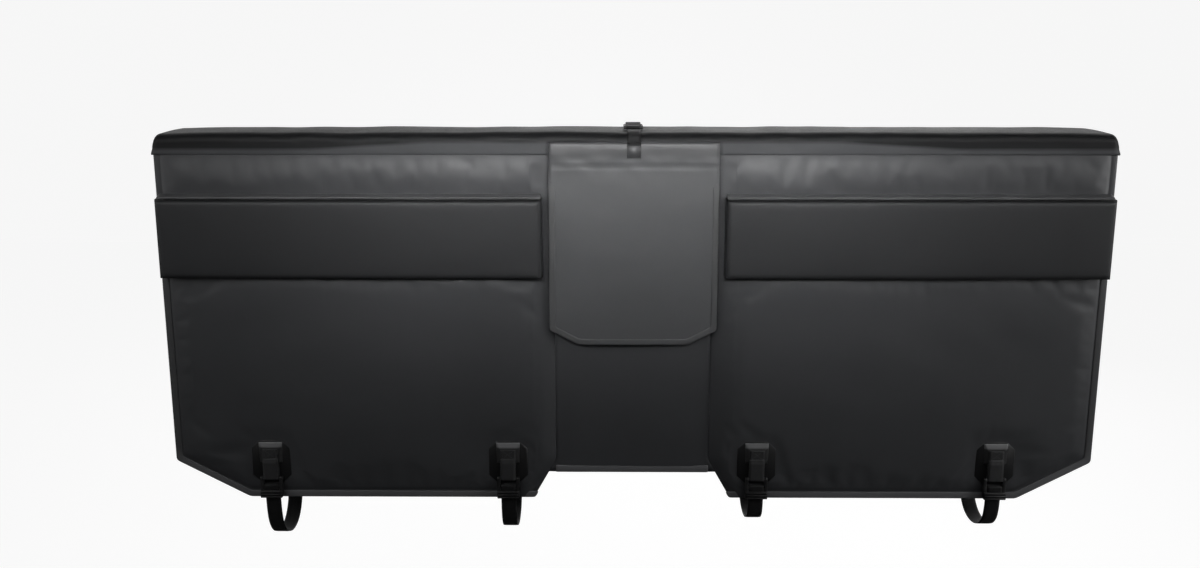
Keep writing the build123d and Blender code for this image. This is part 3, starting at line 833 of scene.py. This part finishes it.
def centre_panel():
    reach = WING_IN + 6 * MM
    xs = spread(-reach, -window_half, 0.008) + spread(-window_half, window_half, 0.008)[1:] \
        + spread(window_half, reach, 0.008)[1:]
    zs = spread(0.0, window_high, 0.008) + spread(window_high, window_low, 0.008)[1:] \
        + spread(window_low, TURN_Z, 0.008)[1:] + spread(TURN_Z, CENTRE_LO[2], 0.008)[1:]
    flare = (WING_FLARE - WING_IN) / (WING_BOTTOM - TURN_Z)
    points, faces = [], []
    for z in zs:
        wide = 1 + max(0.0, TURN_Z - z) * -flare / WING_IN
        for x in xs:
            edge = smooth((WING_IN - abs(x)) / 0.03)
            lift = 0.4 * MM * edge * (ripple(x, z, 0.09, 4.4) - 1)
            points.append((x * wide, centre_face - 1.2 * MM * edge * smooth(-z / 0.3) + lift, z))
    across = len(xs)
    for j in range(len(zs) - 1):
        for i in range(across - 1):
            mid_x, mid_z = (xs[i] + xs[i + 1]) / 2, (zs[j] + zs[j + 1]) / 2
            if abs(mid_x) < window_half and window_low < mid_z < window_high:
                continue
            base = j * across + i
            faces.append((base, base + 1, base + across + 1, base + across))
    kept = sorted({i for face in faces for i in face})
    used = {old: new for new, old in enumerate(kept)}
    points = [points[i] for i in kept]
    faces = [tuple(used[i] for i in face) for face in faces]
    return slab(points, faces, (0, 2.2 * MM, 0))


shape = centre_panel()
middle = make_piece("middle", shape, FABRIC, replaces=["centre_panel"])


def frame_band(x, low, high, width, y, thick):
    """Four mitred tapes round an opening."""
    inner = [(-x, high), (x, high), (x, low), (-x, low)]
    loops = []
    for grow, level in ((0.0, 0.0), (0.15 * MM, -thick), (width - 0.4 * MM, -thick), (width, 0.2 * MM),
                        (width * 0.5, 0.4 * MM)):
        ring = round_trip(inset(inner, [-grow] * 4), [24, 26, 24, 26])
        loops.append([(px, y + level, pz) for px, pz in ring] + [(ring[0][0], y + level, ring[0][1])])
    return band(loops, ends=False)


shape = frame_band(window_half, window_low, window_high, 12 * MM, centre_face - 0.6 * MM, 1.2 * MM)
window_edge = make_piece("window_edge", shape, TAPE, replaces=["window_binding"])

CENTRE_HEM_LO, CENTRE_HEM_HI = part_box("centre_hem")
xs = spread(CENTRE_HEM_LO[0] - 4 * MM, CENTRE_HEM_HI[0] + 4 * MM, 0.006)
rows = [(CENTRE_HEM_HI[2], -1.0), (CENTRE_HEM_HI[2] - 0.6 * MM, -2.1), (CENTRE_HEM_LO[2] + 3 * MM, -2.3),
        (CENTRE_HEM_LO[2] - 0.4 * MM, -1.8), (CENTRE_HEM_LO[2] - 1.0 * MM, 0.2)]
points = [(x, centre_face + (level - 0.2 * ripple(x, z, 0.02, 2.2)) * MM, z) for z,
          level in rows for x in xs]
shape = slab(points, grid_faces(len(xs), len(rows)), (0, 1.4 * MM, 0))
middle_hem = make_piece("middle_hem", shape, TAPE, replaces=["centre_hem"], subdivide=1)

# ---- top ----------------------------------------------------------------------------
ROLL = 15 * MM
END_ROLL = 12 * MM


def top_section(x):
    """Closed section of the padded top at x, as (y, z): outside first, then the underside."""
    inward = max(0.0, abs(x) - (HALF - END_ROLL))
    fall = END_ROLL - sqrt(max(0.0, END_ROLL ** 2 - inward ** 2)) if inward > 0 else 0.0
    droop = 2.2 * MM * smooth((abs(x) - 0.68) / 0.1) + 0.8 * MM * smooth((abs(x) - 0.1) / 0.5)
    high = TOP_Z + 0.8 * MM - droop - min(fall, ROLL - 1.5 * MM)
    thin = min(fall, 7 * MM) * 0.6
    outline = []
    y_out, y_back, low = FACE - 0.6 * MM + thin, BED_OUT + 0.3 * MM - thin, SEAM_Z
    radius = min(ROLL, (high - low) * 0.9)
    lip = -20.5 * MM if abs(x) > FLAP_HI[0] + 0.5 * MM else -19 * MM
    step = 1.3 * MM if abs(x) > FLAP_HI[0] + 0.5 * MM else -1.5 * MM
    outline += [(FACE + 1.7 * MM - step, lip), (FACE + 0.4 * MM - step, lip + 0.7 * MM),
                (FACE - step, lip + 1.8 * MM),
                (FACE - step + thin * 0.3, low + 1 * MM), (y_out + 1.3 * MM - step, low + 6 * MM)]
    outline += arc(y_out + radius, high - radius, radius, 180, 90, 9)
    number = 12
    first, last = y_out + radius, y_back - radius
    for i in range(1, number):
        t = i / number
        outline.append((first + (last - first) * t, high + 0.9 * MM * sin(pi * t)))
    outline += arc(y_back - radius, high - radius, radius, 90, 0, 9)
    outline += [(y_back, low + 6 * MM), (y_back - 0.4 * MM, low + 2.0 * MM),
                (BED_OUT - 1.8 * MM - thin * 0.5, low)]
    outline += [(BED_IN + 0.4 * MM, low), (BED_IN + 0.2 * MM, -8 * MM), (BED_IN - 0.6 * MM, 0.1 * MM),
                (0.0, 0.1 * MM), (IN_FACE + 0.6 * MM, 0.1 * MM), (IN_FACE - 0.2 * MM, -8 * MM),
                (IN_FACE - 0.4 * MM, low), (FACE + 2.6 * MM, low - 0.2 * MM)]
    return outline


def top_wave(x, y, z, index, count):
    """Small folds in the cover: along the rolls, and slanting across the front."""
    if index >= count - 8:
        return 0.0
    ease = smooth((HALF - abs(x)) / 0.02) * smooth((z - SEAM_Z) / 0.006)
    slant = noise.noise(Vector((x / 0.05 + z / 0.02, 6.0, z / 0.05)))
    long = noise.noise(Vector((x / 0.14, y / 0.05, z / 0.03)))
    under_lock = smooth((24 * MM - abs(x)) / (10 * MM)) * smooth((KEEPER_HI[1] + 12 * MM - y) / (10 * MM))
    return ease * (0.9 * MM * slant + 1.0 * MM * long) * (1 - under_lock) - 2.0 * MM * under_lock * (z > 0)


half = spread(FLAP_HI[0] + 0.9 * MM, HALF - 18 * MM, 0.006) + spread(HALF - 18 * MM, HALF - 0.2 * MM,
                                                                     0.0016)[1:]
stations = [-x for x in reversed(half)] + spread(-FLAP_HI[0] - 0.1 * MM, FLAP_HI[0] + 0.1 * MM,
                                                 0.006) + half
verts = []
for x in stations:
    section = top_section(x)
    middle_y, middle_z = (FACE + BED_OUT) / 2, -0.02
    for index, (y, z) in enumerate(section):
        out = Vector((0, (y - middle_y) * 0.6, z - middle_z)).normalized()
        shift = top_wave(x, y, z, index, len(section))
        verts.append((x, y + out.y * shift, z + out.z * shift))
per = len(top_section(0.0))


def close_end(base):
    """Quads and a few triangles over a section's end, from outside to underside."""
    outer, inner = list(range(base, base + per - 8)), list(range(base + per - 1, base + per - 9, -1))
    made = []
    share = (len(outer) - 1) / (len(inner) - 1)
    for k in range(len(inner) - 1):
        first, last = round(k * share), round((k + 1) * share)
        made.append([outer[i] for i in range(first, last + 1)] + [inner[k + 1], inner[k]])
    return made


faces = ring_faces(per, len(stations)) + close_end(0) + close_end((len(stations) - 1) * per)
make_piece("top_pad", (verts, faces), FABRIC_TOP,
           replaces=["top_cover", "top_foam", "top_seam"])

# lining on the seat
seat_xs, seat_ys = spread(SEAT_LO[0], SEAT_HI[0], 0.02), spread(SEAT_LO[1], SEAT_HI[1], 0.01)
points = [(x, y, SEAT_LO[2] + 0.1 * MM * (1 + ripple(x, y, 0.02, 2.0))) for x in seat_xs for y in seat_ys]
shape = slab(points, grid_faces(len(seat_ys), len(seat_xs)), (0, 0, 1.0 * MM))
make_piece("seat_lining", shape, FLEECE, replaces=["top_liner"])

# ---- bed-side wall ------------------------------------------------------------------
REAR_LOW, REAR_TURN = REAR_LO[2], REAR_LO[2] + REAR_CUT
rear_outline = [(-HALF, SEAM_Z + 2 * MM), (HALF, SEAM_Z + 2 * MM), (HALF, REAR_TURN),
                (HALF - REAR_CUT, REAR_LOW),
                (REAR_CUT - HALF, REAR_LOW), (-HALF, REAR_TURN)]
rear_in = BED_IN + 1.2 * MM
rings = []
for width, out in ((0.0, 0.0), (0.8, 4.0), (2.6, 7.6), (4.0, 8.8), (8.0, 9.4), (11.0, 9.0), (12.2, 7.8),
                   (13.6, 8.0),
                   (17.0, 9.8), (22.0, 10.6), (30.0, 10.9)):
    widths = [width * MM] * 6
    widths[0] = 0.0002 * len(rings)
    rings.append((widths, rear_in + out * MM))


def rear_height(x, z):
    away = min(HALF - abs(x), z - REAR_LOW, (SEAM_Z - z) * 1.5)
    return (1.2 * MM * smooth(away / 0.08) + smooth(away / 0.05)
            * (1.0 * MM * ripple(x, z, 0.15, 31.0) + 0.5 * MM * ripple(x, z, 0.05, 33.0)))


shape = padded_shell(rear_outline, [120, 38, 8, 120, 8, 38], 120, 46, rings, rear_in, rear_height)
make_piece("rear_wall", shape, FABRIC, replaces=["rear_cover", "rear_foam"])
lining = inset([(x, 0.0 if z > SEAM_Z else z) for x, z in rear_outline], [0.0] + [1.2 * MM] * 5)
nap = [([0.0] * 6, rear_in), ([0.0002] * 6, rear_in - 0.6 * MM), ([0.0008] * 6, BED_IN + 0.2 * MM),
       ([0.003] * 6, BED_IN + 0.15 * MM)]
shape = padded_shell(lining, [80, 24, 6, 80, 6, 24], 80, 30, nap, rear_in,
                     lambda x, z: 0.12 * MM * (1 + ripple(x, z, 0.02, 1.5)))
make_piece("rear_lining", shape, FLEECE, replaces=["rear_liner"])

# ---- header and flap ------------------------------------------------------------------
header_low, header_in, header_out = HEADER_LO[2] - 1 * MM, WING_IN - 0.5 * MM, 134 * MM
header_outline = [(-header_in, centre_face), (header_in, centre_face), (header_out, FACE + 6 * MM),
         (header_out, FACE + 1 * MM),
         (-header_out, FACE + 1 * MM), (-header_out, FACE + 6 * MM)]
verts = [(x, y, z) for z in (header_low, SEAM_Z) for x, y in header_outline]
faces = ring_faces(6, 2) + [tuple(range(6)), tuple(range(6, 12))]
make_piece("header_pad", (verts, faces), FABRIC, replaces=["header_foam", "header_cover"])

flap_x, flap_top, flap_low = FLAP_HI[0], 0.0, FLAP_LO[2]
corner_x, corner_z = FLAP_CORNER
flap_edge = [(-flap_x, flap_top), (flap_x, flap_top), (flap_x, corner_z), (corner_x, flap_low),
             (-corner_x, flap_low), (-flap_x, corner_z)]


def flap_y(x, z):
    """Outside of the flap: a seam at the header, puckers either side, a soft belly below."""
    below = header_low - z
    seam = 0.8 * MM * exp(-(below / (1.2 * MM)) ** 2)
    pucker = 2.0 * MM * noise.noise(Vector((x / 0.028 + z / 0.05, 7.0,
                                            z / 0.03))) * exp(-abs(below + 0.006) / 0.012)
    pucker += 1.0 * MM * noise.noise(Vector((x / 0.05, 3.0, z / 0.012))) * exp(-abs(below + 0.012) / 0.012)
    belly = -1.6 * MM * smooth(below / 0.12) * (1 - (x / flap_x) ** 2)
    slow = smooth(below / 0.03) * (0.9 * MM * ripple(x, z, 0.1, 12.0) + 0.35 * MM * ripple(x, z, 0.04,
                                                                                           14.0))
    bulge = -0.3 * MM * smooth((-below) / 0.008) * smooth((flap_top - z) / 0.012)
    tuck = 1.0 * MM * smooth((z - flap_top + 0.010) / 0.010)
    return FLAP_LO[1] + seam + pucker + belly + slow + bulge + tuck


rim = round_trip(flap_edge, [48, 72, 8, 48, 8, 72])
grid = fill_patch(rim, 48, 80)
numbers = []
points = [(x, flap_y(x, z), z) for x, z in rim]
for line in grid:
    numbers.append(list(range(len(points), len(points) + len(line))))
    points += [(x, flap_y(x, z), z) for x, z in line]
shape = slab(points, disc_faces(list(range(len(rim))), numbers, 48, 80), (0, 1.5 * MM, 0))
flap = make_piece("flap", shape, FABRIC_FLAP, body=None,
                  replaces=["access_flap", "flap_header"])
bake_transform(flap)

hem_edge = [(x, z if z < -0.1 else header_low - 3 * MM) for x, z in flap_edge]
loops = []
for near, level in ((-0.5, 0.9), (-0.7, -0.3), (0.2, -1.0), (1.5, -1.2), (8.4, -1.0), (9.6, -0.4),
                    (9.0, 0.5),
                    (1.0, 0.6), (0.6, 1.9), (-0.2, 1.9)):
    widths = [0.0] + [near * MM] * 5
    ring = round_trip(inset(hem_edge, widths), [1, 50, 10, 36, 10, 50])
    ring = ring[1:] + ring[:1]
    line = []
    for x, z in ring:
        show = 1.0 if level > 0 else smooth((header_low - 6 * MM - z) / 0.07)
        line.append((x, flap_y(x, z) + (level * show + 0.4 * (1 - show) + 0.15 * ripple(x, z, 0.012,
                                                                                        3.0)) * MM, z))
    loops.append(line)
shape = band(loops)
hem = make_piece("flap_binding", shape, TAPE, body="flap", replaces=["flap_hem"],
                 subdivide=1)

# ---- keeper on top ----------------------------------------------------------------------
def curve_3d(x, points):
    return [Vector((x, y, z)) for y, z in points]


def dense(points, step=1.5 * MM):
    """The same line with a point every step or so."""
    made = [points[0]]
    for a, b in zip(points, points[1:]):
        number = max(1, round((b - a).length / step))
        made += [a + (b - a) * (i / number) for i in range(1, number + 1)]
    return made


keeper_pivot = Vector(JOINTS["keeper_hinge"]["pos_m"])
roll_y, roll_r = FACE + ROLL, ROLL + 1.6 * MM
patch_out = PATCH_LO[1]
route = [(patch_out - 0.2 * MM, PATCH_LO[2] + 1.5 * MM), (patch_out - 0.3 * MM, PATCH_LO[2] + 10 * MM),
         (patch_out + 0.4 * MM, -2 * MM)] + arc(roll_y, 0.0, roll_r, 178, 92, 10) \
    + [(roll_y + 8 * MM, 16.9 * MM)] + arc(keeper_pivot.y, keeper_pivot.z, 3.1 * MM, -100, 180, 14)
KEEPER_WEB = PATCH_HI[0] * 2 - 1 * MM
shape = ribbon(dense(curve_3d(0, route)), ACROSS, KEEPER_WEB, WEB_T * 0.9)
make_piece("keeper_strap", shape, WEBBING, replaces=["keeper_webbing"])
half = PATCH_HI[0]
shape = prism([(-half, PATCH_HI[2]), (half, PATCH_HI[2]), (half, PATCH_LO[2]), (-half, PATCH_LO[2])],
              patch_out + 1.6 * MM, patch_out - 1.2 * MM, 0.5 * MM)
make_piece("keeper_patch_cover", shape, FABRIC_FLAP, replaces=["keeper_patch"])
parts = box_x((0, patch_out - 1.15 * MM, (PATCH_LO[2] + PATCH_HI[2]) / 2), ACROSS, UP, 9 * MM, 8 * MM,
              OUTWARDS)
shape = join_parts(parts)
make_piece("keeper_stitches", shape, THREAD)


def keeper_lock():
    """Small lock that lies on the top: rails, three bars, and a ribbed thumb plate."""
    half = KEEPER_HI[0]
    start, end = KEEPER_LO[1], KEEPER_HI[1]
    low, high = KEEPER_LO[2], KEEPER_HI[2]
    parts = []
    for s in (-1, 1):
        xs = sorted((s * (half - 3.2 * MM), s * half))
        parts.append(soft_block((xs[0], start, low), (xs[1], end, low + 5.4 * MM), 1.4 * MM, 3))
    for offset in (0.0, 10 * MM, 20 * MM):
        y = keeper_pivot.y + offset
        parts.append(round_bar((-half + 1 * MM, y, keeper_pivot.z), (half - 1 * MM, y, keeper_pivot.z),
                               1.8 * MM))
    parts.append(soft_block((-half + 1 * MM, end - 11 * MM, low + 1.2 * MM),
                            (half - 1 * MM, end, low + 5.6 * MM), 1.0 * MM, 2))
    for rib in range(3):
        y = end - 9.6 * MM + 3.6 * MM * rib
        top = high - 1.0 * MM * rib
        inner = half - (3.6 + 1.4 * rib) * MM
        parts.append(soft_block((-inner, y, low + 4 * MM), (inner, y + 2.2 * MM, top), 0.8 * MM, 2))
    return join_parts(parts)


shape = keeper_lock()
make_piece("keeper_lock", shape, PLASTIC, body="keeper",
           replaces=["keeper_buckle"])

# ---- tie-downs ----------------------------------------------------------------------------
# Route of a loop at full drop: Y, and Z below the wing's lower edge.
LOOP = [(-57.0, 3.6), (-56.2, -24.0), (-50.0, -56.0), (-32.0, -84.0), (-4.0, -97.0), (24.0, -91.0),
        (43.0, -62.0), (49.0, -18.0), (50.0, 34.0), (52.8, 92.0), (53.7, 150.0), (53.8, 196.0)]
DROPS = [0.93, 0.78, 0.58, 0.71]


def spline_points(route_points):
    """The smooth line that a NURBS curve makes of a route's points."""
    curve = bpy.data.curves.new("route", "CURVE")
    curve.dimensions = "3D"
    spline = curve.splines.new("NURBS")
    spline.points.add(len(route_points) - 1)
    for point, place in zip(spline.points, route_points):
        point.co = (*place, 1)
    spline.order_u = 3
    spline.use_endpoint_u = True
    spline.resolution_u = 24
    holder = bpy.data.objects.new("route", curve)
    bpy.context.scene.collection.objects.link(holder)
    mesh = bpy.data.meshes.new_from_object(holder)
    places = [v.co.copy() for v in mesh.vertices]
    bpy.data.objects.remove(holder)
    bpy.data.curves.remove(curve)
    bpy.data.meshes.remove(mesh)
    return places


def route_length(points):
    return sum((b - a).length for a, b in zip(points, points[1:]))


def tie_lock(x, low, high):
    """Ladder lock: rails with round ends, three bars, and a ribbed lip to lift it by."""
    parts = []
    _, pivot_y, pivot_z = JOINTS["lock_hinge_1"]["pos_m"]
    bottom, half = low[2], (high[0] - low[0]) / 2
    for s in (-1, 1):
        xs = sorted((x + s * (half - 5.3 * MM), x + s * half))
        work = [(pivot_y + a, b) for a, b in arc(0.0, pivot_z, 3.2 * MM, 0, 180, 8)]
        side_view = work + [(pivot_y - 3.2 * MM, pivot_z - 18 * MM),
                            (pivot_y - 5.0 * MM, pivot_z - 22 * MM),
                            (pivot_y - 5.0 * MM, bottom + 1.2 * MM), (pivot_y - 4.2 * MM, bottom),
                            (pivot_y + 2.4 * MM, bottom), (pivot_y + 3.2 * MM, bottom + 1.2 * MM)]
        count = len(side_view)
        middle = (sum(p[0] for p in side_view) / count, sum(p[1] for p in side_view) / count)
        verts = []
        for px, share in ((xs[0], 0.86), (xs[0] + 0.7 * MM, 1.0), (xs[1] - 0.7 * MM, 1.0), (xs[1], 0.86)):
            for y, z in side_view:
                dy, dz = y - middle[0], z - middle[1]
                verts.append((px, middle[0] + dy * (1 - (1 - share) * 1.4),
                              middle[1] + dz * (1 - (1 - share) * 0.35)))
        faces = ring_faces(count, 4)
        faces.append(list(range(count)))
        faces.append([3 * count + i for i in range(count)])
        parts.append((verts, faces))
    inner = half - 4.5 * MM
    for drop in (0.0, 14 * MM, 23 * MM):
        parts.append(round_bar((x - inner, pivot_y, pivot_z - drop), (x + inner, pivot_y, pivot_z - drop),
                               1.8 * MM))
    lip = low[1] + 1.1 * MM
    parts.append(soft_block((x - half + 0.4 * MM, lip, bottom),
                            (x + half - 0.4 * MM, lip + 2.6 * MM, pivot_z - 20.6 * MM), 0.8 * MM, 2))
    for rib in range(3):
        z = pivot_z - 22.4 * MM - 4.6 * MM * rib
        parts.append(round_bar((x - half + 1.4 * MM, lip - 0.1 * MM, z),
                               (x + half - 1.4 * MM, lip - 0.1 * MM, z), 1.25 * MM, 12, 0.8))
    return join_parts(parts)


lock_pivot = Vector(JOINTS["lock_hinge_1"]["pos_m"])
REAR_PATCH_LO, REAR_PATCH_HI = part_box("rear_anchor_patches")
patches, pads, tabs, threads, rear_patches, rear_threads = [], [], [], [], [], []
for number, (x, drop) in enumerate(zip(STATIONS, DROPS), 1):
    # welded patch under each tie-down; its near-black colour and its reach down round the lock are also
    # painted shade, standing in for the shadow round the lock
    patches.append(prism(octagon(x, TIE_PATCH_Z, 32.5 * MM, 38 * MM, 14 * MM), FACE + 0.4 * MM,
                         FACE - 1.6 * MM, 1.2 * MM))
    front = PADS_LO[1] - 0.2 * MM
    pad_top = PADS_HI[2] + 5 * MM
    outline = [(x - 20 * MM, pad_top), (x + 20 * MM, pad_top), (x + 19 * MM, PADS_LO[2]),
               (x - 19 * MM, PADS_LO[2])]
    rings = [([0.0] * 4, FACE - 0.6 * MM), ([0.3 * MM, 0.1 * MM, 0.0, 0.1 * MM], FACE - 1.8 * MM),
             ([2.0 * MM, 0.8 * MM, 0.2 * MM, 0.8 * MM], FACE - 2.6 * MM),
             ([10.0 * MM, 5.6 * MM, 0.4 * MM, 5.6 * MM], front + 0.4 * MM),
             ([11.5 * MM, 6.6 * MM, 1.2 * MM, 6.6 * MM], front)]
    verts, faces = padded_shell(outline, [14, 10, 14, 10], 14, 10, rings, FACE - 0.6 * MM,
                                lambda px, pz: -0.15 * MM * ripple(px, pz, 0.01, 2.0))
    pads.append((verts, faces))
    threads += box_x((x, front - 1.7 * MM, pad_top - 20 * MM), ACROSS, UP, 9.5 * MM, 7 * MM, OUTWARDS)
    ring = 2.9 * MM
    loop = [(lock_pivot.y + 2.4 * MM, PADS_LO[2] + 4 * MM), (lock_pivot.y + ring, lock_pivot.z + 12 * MM)] \
        + arc(lock_pivot.y, lock_pivot.z, ring, 0, -180, 14) \
        + [(lock_pivot.y - ring, lock_pivot.z + 5 * MM),
           (lock_pivot.y - ring - 0.4 * MM, PADS_LO[2] + 1 * MM),
           (front - 1.6 * MM, PADS_LO[2] + 8 * MM), (front - 1.0 * MM, pad_top - 28 * MM),
           (front - 0.9 * MM, pad_top - 12 * MM)]
    tabs.append(ribbon(dense(curve_3d(x, loop)), ACROSS, WEB, WEB_T))

    low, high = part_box(f"ladder_lock_{number}")
    shape = tie_lock(x, low, high)
    make_piece(f"tie_lock_{number}", shape, PLASTIC, body=f"lock_{number}",
               replaces=[f"ladder_lock_{number}"])
    bar_z = lock_pivot.z - 14 * MM
    thread_path = [(lock_pivot.y + ring - 0.1 * MM, WING_BOTTOM + 3.6 * MM),
                   (lock_pivot.y + ring, bar_z - 8 * MM)] \
        + arc(lock_pivot.y, bar_z, ring, 0, 180, 14) \
        + [(lock_pivot.y - ring, bar_z - 8 * MM), (lock_pivot.y - ring + 0.3 * MM, WING_BOTTOM + 4.2 * MM)]
    shape = ribbon(dense(curve_3d(x, thread_path)), ACROSS, WEB, WEB_T)
    make_piece(f"strap_end_{number}", shape, WEBBING, body=f"lock_{number}",
               replaces=[f"threaded_webbing_{number}"])

    places = spline_points([(x, y * MM, WING_BOTTOM + (z * drop if z < 0 else z) * MM) for y, z in LOOP])
    shape = ribbon(places, ACROSS, WEB, WEB_T)
    strap = make_piece(f"tie_strap_{number}", shape, WEBBING, body=None,
                       replaces=[f"tie_down_strap_{number}"])
    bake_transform(strap)
    route_length(places)

    rear_patches.append(prism(octagon(x, REAR_PATCH_Z, 27 * MM, 20 * MM, 8 * MM),
                              REAR_PATCH_LO[1] - 0.3 * MM,
                              REAR_PATCH_HI[1] + 0.2 * MM, 0.4 * MM))
    rear_threads += box_x((x, REAR_PATCH_HI[1] + 2.0 * MM, -424 * MM), ACROSS, UP, 10 * MM, 7 * MM,
                          BEDWARDS)

for name, group, material, slot, nodes in (
        ("tie_patches", patches, PATCH, "welded_patch", ["anchor_patches"]),
        ("tie_pads", pads, PAD_COVER, "webbing", ["anchor_pads"]),
        ("tie_tabs", tabs, TAB, "webbing", ["lock_tabs"]),
        ("tie_stitches", threads, THREAD, "webbing", []),
        ("rear_patches", rear_patches, PATCH, "welded_patch", ["rear_anchor_patches"]),
        ("rear_stitches", rear_threads, THREAD, "webbing", [])):
    shape = join_parts(group)
    make_piece(name, shape, material, replaces=nodes)

# ---- bike straps on the bed side ------------------------------------------------------------
ANCHOR_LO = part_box("bike_strap_anchors")[0]
bike_patches, bike_threads = [], []
for number, x in enumerate(BIKES, 1):
    low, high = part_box(f"bike_strap_{number}")
    bike_patches.append(prism(octagon(x, BIKE_PATCH_Z, 30 * MM, 24 * MM, 6 * MM), ANCHOR_LO[1] - 0.3 * MM,
                              ANCHOR_LO[1] + 1.2 * MM, 0.4 * MM))
    y = (low[1] + high[1]) / 2 + 0.1 * MM
    top_z = -36 * MM
    path = [Vector((x, y + 0.6 * MM * ripple(x, z, 0.06, 40.0 + number) * smooth((top_z - z) / 0.05), z))
            for z in spread(top_z, low[2], 0.004)]
    shape = ribbon(path, ACROSS, WEB, WEB_T)
    strap = make_piece(f"carry_strap_{number}", shape, WEBBING, body=None,
                       replaces=[f"bike_strap_{number}"])
    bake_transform(strap)
    bike_threads += box_x((x, y + 1.0 * MM, -48 * MM), ACROSS, UP, 10 * MM, 8 * MM, BEDWARDS)

    low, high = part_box(f"bike_buckle_{number}")
    base = low[1]
    parts = [soft_block((x - 17 * MM, base, low[2]), (x + 17 * MM, base + 3.8 * MM, high[2]), 1.3 * MM, 3)]
    for s in (-1, 1):
        xs = sorted((x + s * 13.2 * MM, x + s * 16.6 * MM))
        parts.append(soft_block((xs[0], base + 2 * MM, low[2] + 4 * MM),
                                (xs[1], base + 9.4 * MM, low[2] + 34 * MM), 1.2 * MM, 3))
    parts.append(round_bar((x - 13.4 * MM, base + 5.0 * MM, low[2] + 22 * MM),
                           (x + 13.4 * MM, base + 5.0 * MM, low[2] + 22 * MM), 4.2 * MM, 20))
    parts.append(soft_block((x - 12.8 * MM, base + 3 * MM, low[2] + 18 * MM),
                            (x + 12.8 * MM, base + 8.0 * MM, low[2] + 40 * MM), 1.4 * MM, 3))
    for rib in range(4):
        z = low[2] + (26 + 4 * rib) * MM
        parts.append(round_bar((x - 10.5 * MM, base + 8.0 * MM, z), (x + 10.5 * MM, base + 8.0 * MM, z),
                               0.9 * MM, 10, 0.8))
    shape = join_parts(parts)
    make_piece(f"cam_buckle_{number}", shape, PLASTIC,
               body=f"bike_strap_body_{number}",
               replaces=[f"bike_buckle_{number}"])

shape = join_parts(bike_patches)
make_piece("carry_patches", shape, PATCH, replaces=["bike_strap_anchors"])
shape = join_parts(bike_threads)
make_piece("carry_stitches", shape, THREAD)

# ---- camera, floor and light ------------------------------------------------------------------
scene = bpy.context.scene
camera_data = bpy.data.cameras.new("camera")
camera_data.sensor_width = 36.0
camera_data.lens = 26.55
camera_data.shift_y = -0.0933
camera = bpy.data.objects.new("camera", camera_data)
camera.location = (-0.0455, -1.458, 0.177)
camera.rotation_euler = (radians(80.9), radians(0.014), radians(0.363))
scene.collection.objects.link(camera)
scene.camera = camera


def surround(name, corners, reflects=False):
    """A pale plane that only the camera sees, and reflections where asked."""
    mesh = bpy.data.meshes.new(name)
    mesh.from_pydata(corners, [], [(0, 1, 2, 3)])
    plane = bpy.data.objects.new(name, mesh)
    scene.collection.objects.link(plane)
    material = new_material(name, (0.2, 0.2, 0.2), 0.9, 0.0)
    shader = principled(material)
    shader.inputs["Emission Color"].default_value = (1, 1, 1, 1)
    shader.inputs["Emission Strength"].default_value = 0.92
    mesh.materials.append(material)
    plane.visible_diffuse = False
    plane.visible_shadow = False
    plane.visible_glossy = reflects


FLOOR_Z, CEILING_Z, REACH, BACK = -1.15, 12.0, 12.0, 4.0
CORNERS = [(-REACH, -REACH), (REACH, -REACH), (REACH, REACH), (-REACH, REACH)]


def upright(start, end, top=CEILING_Z):
    """Corners of a wall over a line on the floor."""
    return [(*start, FLOOR_Z), (*end, FLOOR_Z), (*end, top), (*start, top)]


surround("floor", [(x, y, FLOOR_Z) for x, y in CORNERS])
surround("backdrop", upright((-REACH, BACK), (REACH, BACK), 8), True)
surround("wall_front", upright(CORNERS[0], CORNERS[1]))
surround("wall_left", upright(CORNERS[0], CORNERS[3]))
surround("wall_right", upright(CORNERS[1], CORNERS[2]))


def area_light(name, place, target, size, power, spread_angle=180.0):
    data = bpy.data.lights.new(name, "AREA")
    data.shape = "RECTANGLE"
    data.size, data.size_y = size
    data.energy = power
    data.spread = radians(spread_angle)
    lamp = bpy.data.objects.new(name, data)
    lamp.location = place
    lamp.rotation_euler = (Vector(target) - Vector(place)).to_track_quat("-Z", "Y").to_euler()
    scene.collection.objects.link(lamp)
    return lamp


area_light("front", (0.0, -0.9, 0.25), (0.0, -0.06, -0.02), (1.0, 0.2), 1.7, 50)
area_light("left", (-0.9, -0.9, 0.4), (-0.4, 0.0, -0.2), (0.6, 0.6), 1.35, 100)
area_light("right", (0.9, -0.9, 0.4), (0.4, 0.0, -0.2), (0.6, 0.6), 1.1, 100)
area_light("far_right", (2.0, -0.7, 0.1), (0.6, 0.0, -0.4), (0.8, 1.2), 5.2, 100)
area_light("far_left", (-2.0, -0.7, 0.1), (-0.6, 0.0, -0.4), (0.8, 1.2), 1.6, 100)
area_light("rear", (0.9, 1.6, 1.4), (0.0, 0.05, -0.1), (2.0, 1.0), 8.0)
area_light("bed_side", (0.3, 2.2, -0.1), (0.0, 0.06, -0.25), (2.4, 1.0), 14.0).visible_camera = False

world = bpy.data.worlds.new("world")
world.use_nodes = True
world.node_tree.nodes["Background"].inputs["Color"].default_value = (0.9, 0.92, 0.95, 1)
world.node_tree.nodes["Background"].inputs["Strength"].default_value = 0.01
scene.world = world
scene.view_settings.view_transform = "Standard"
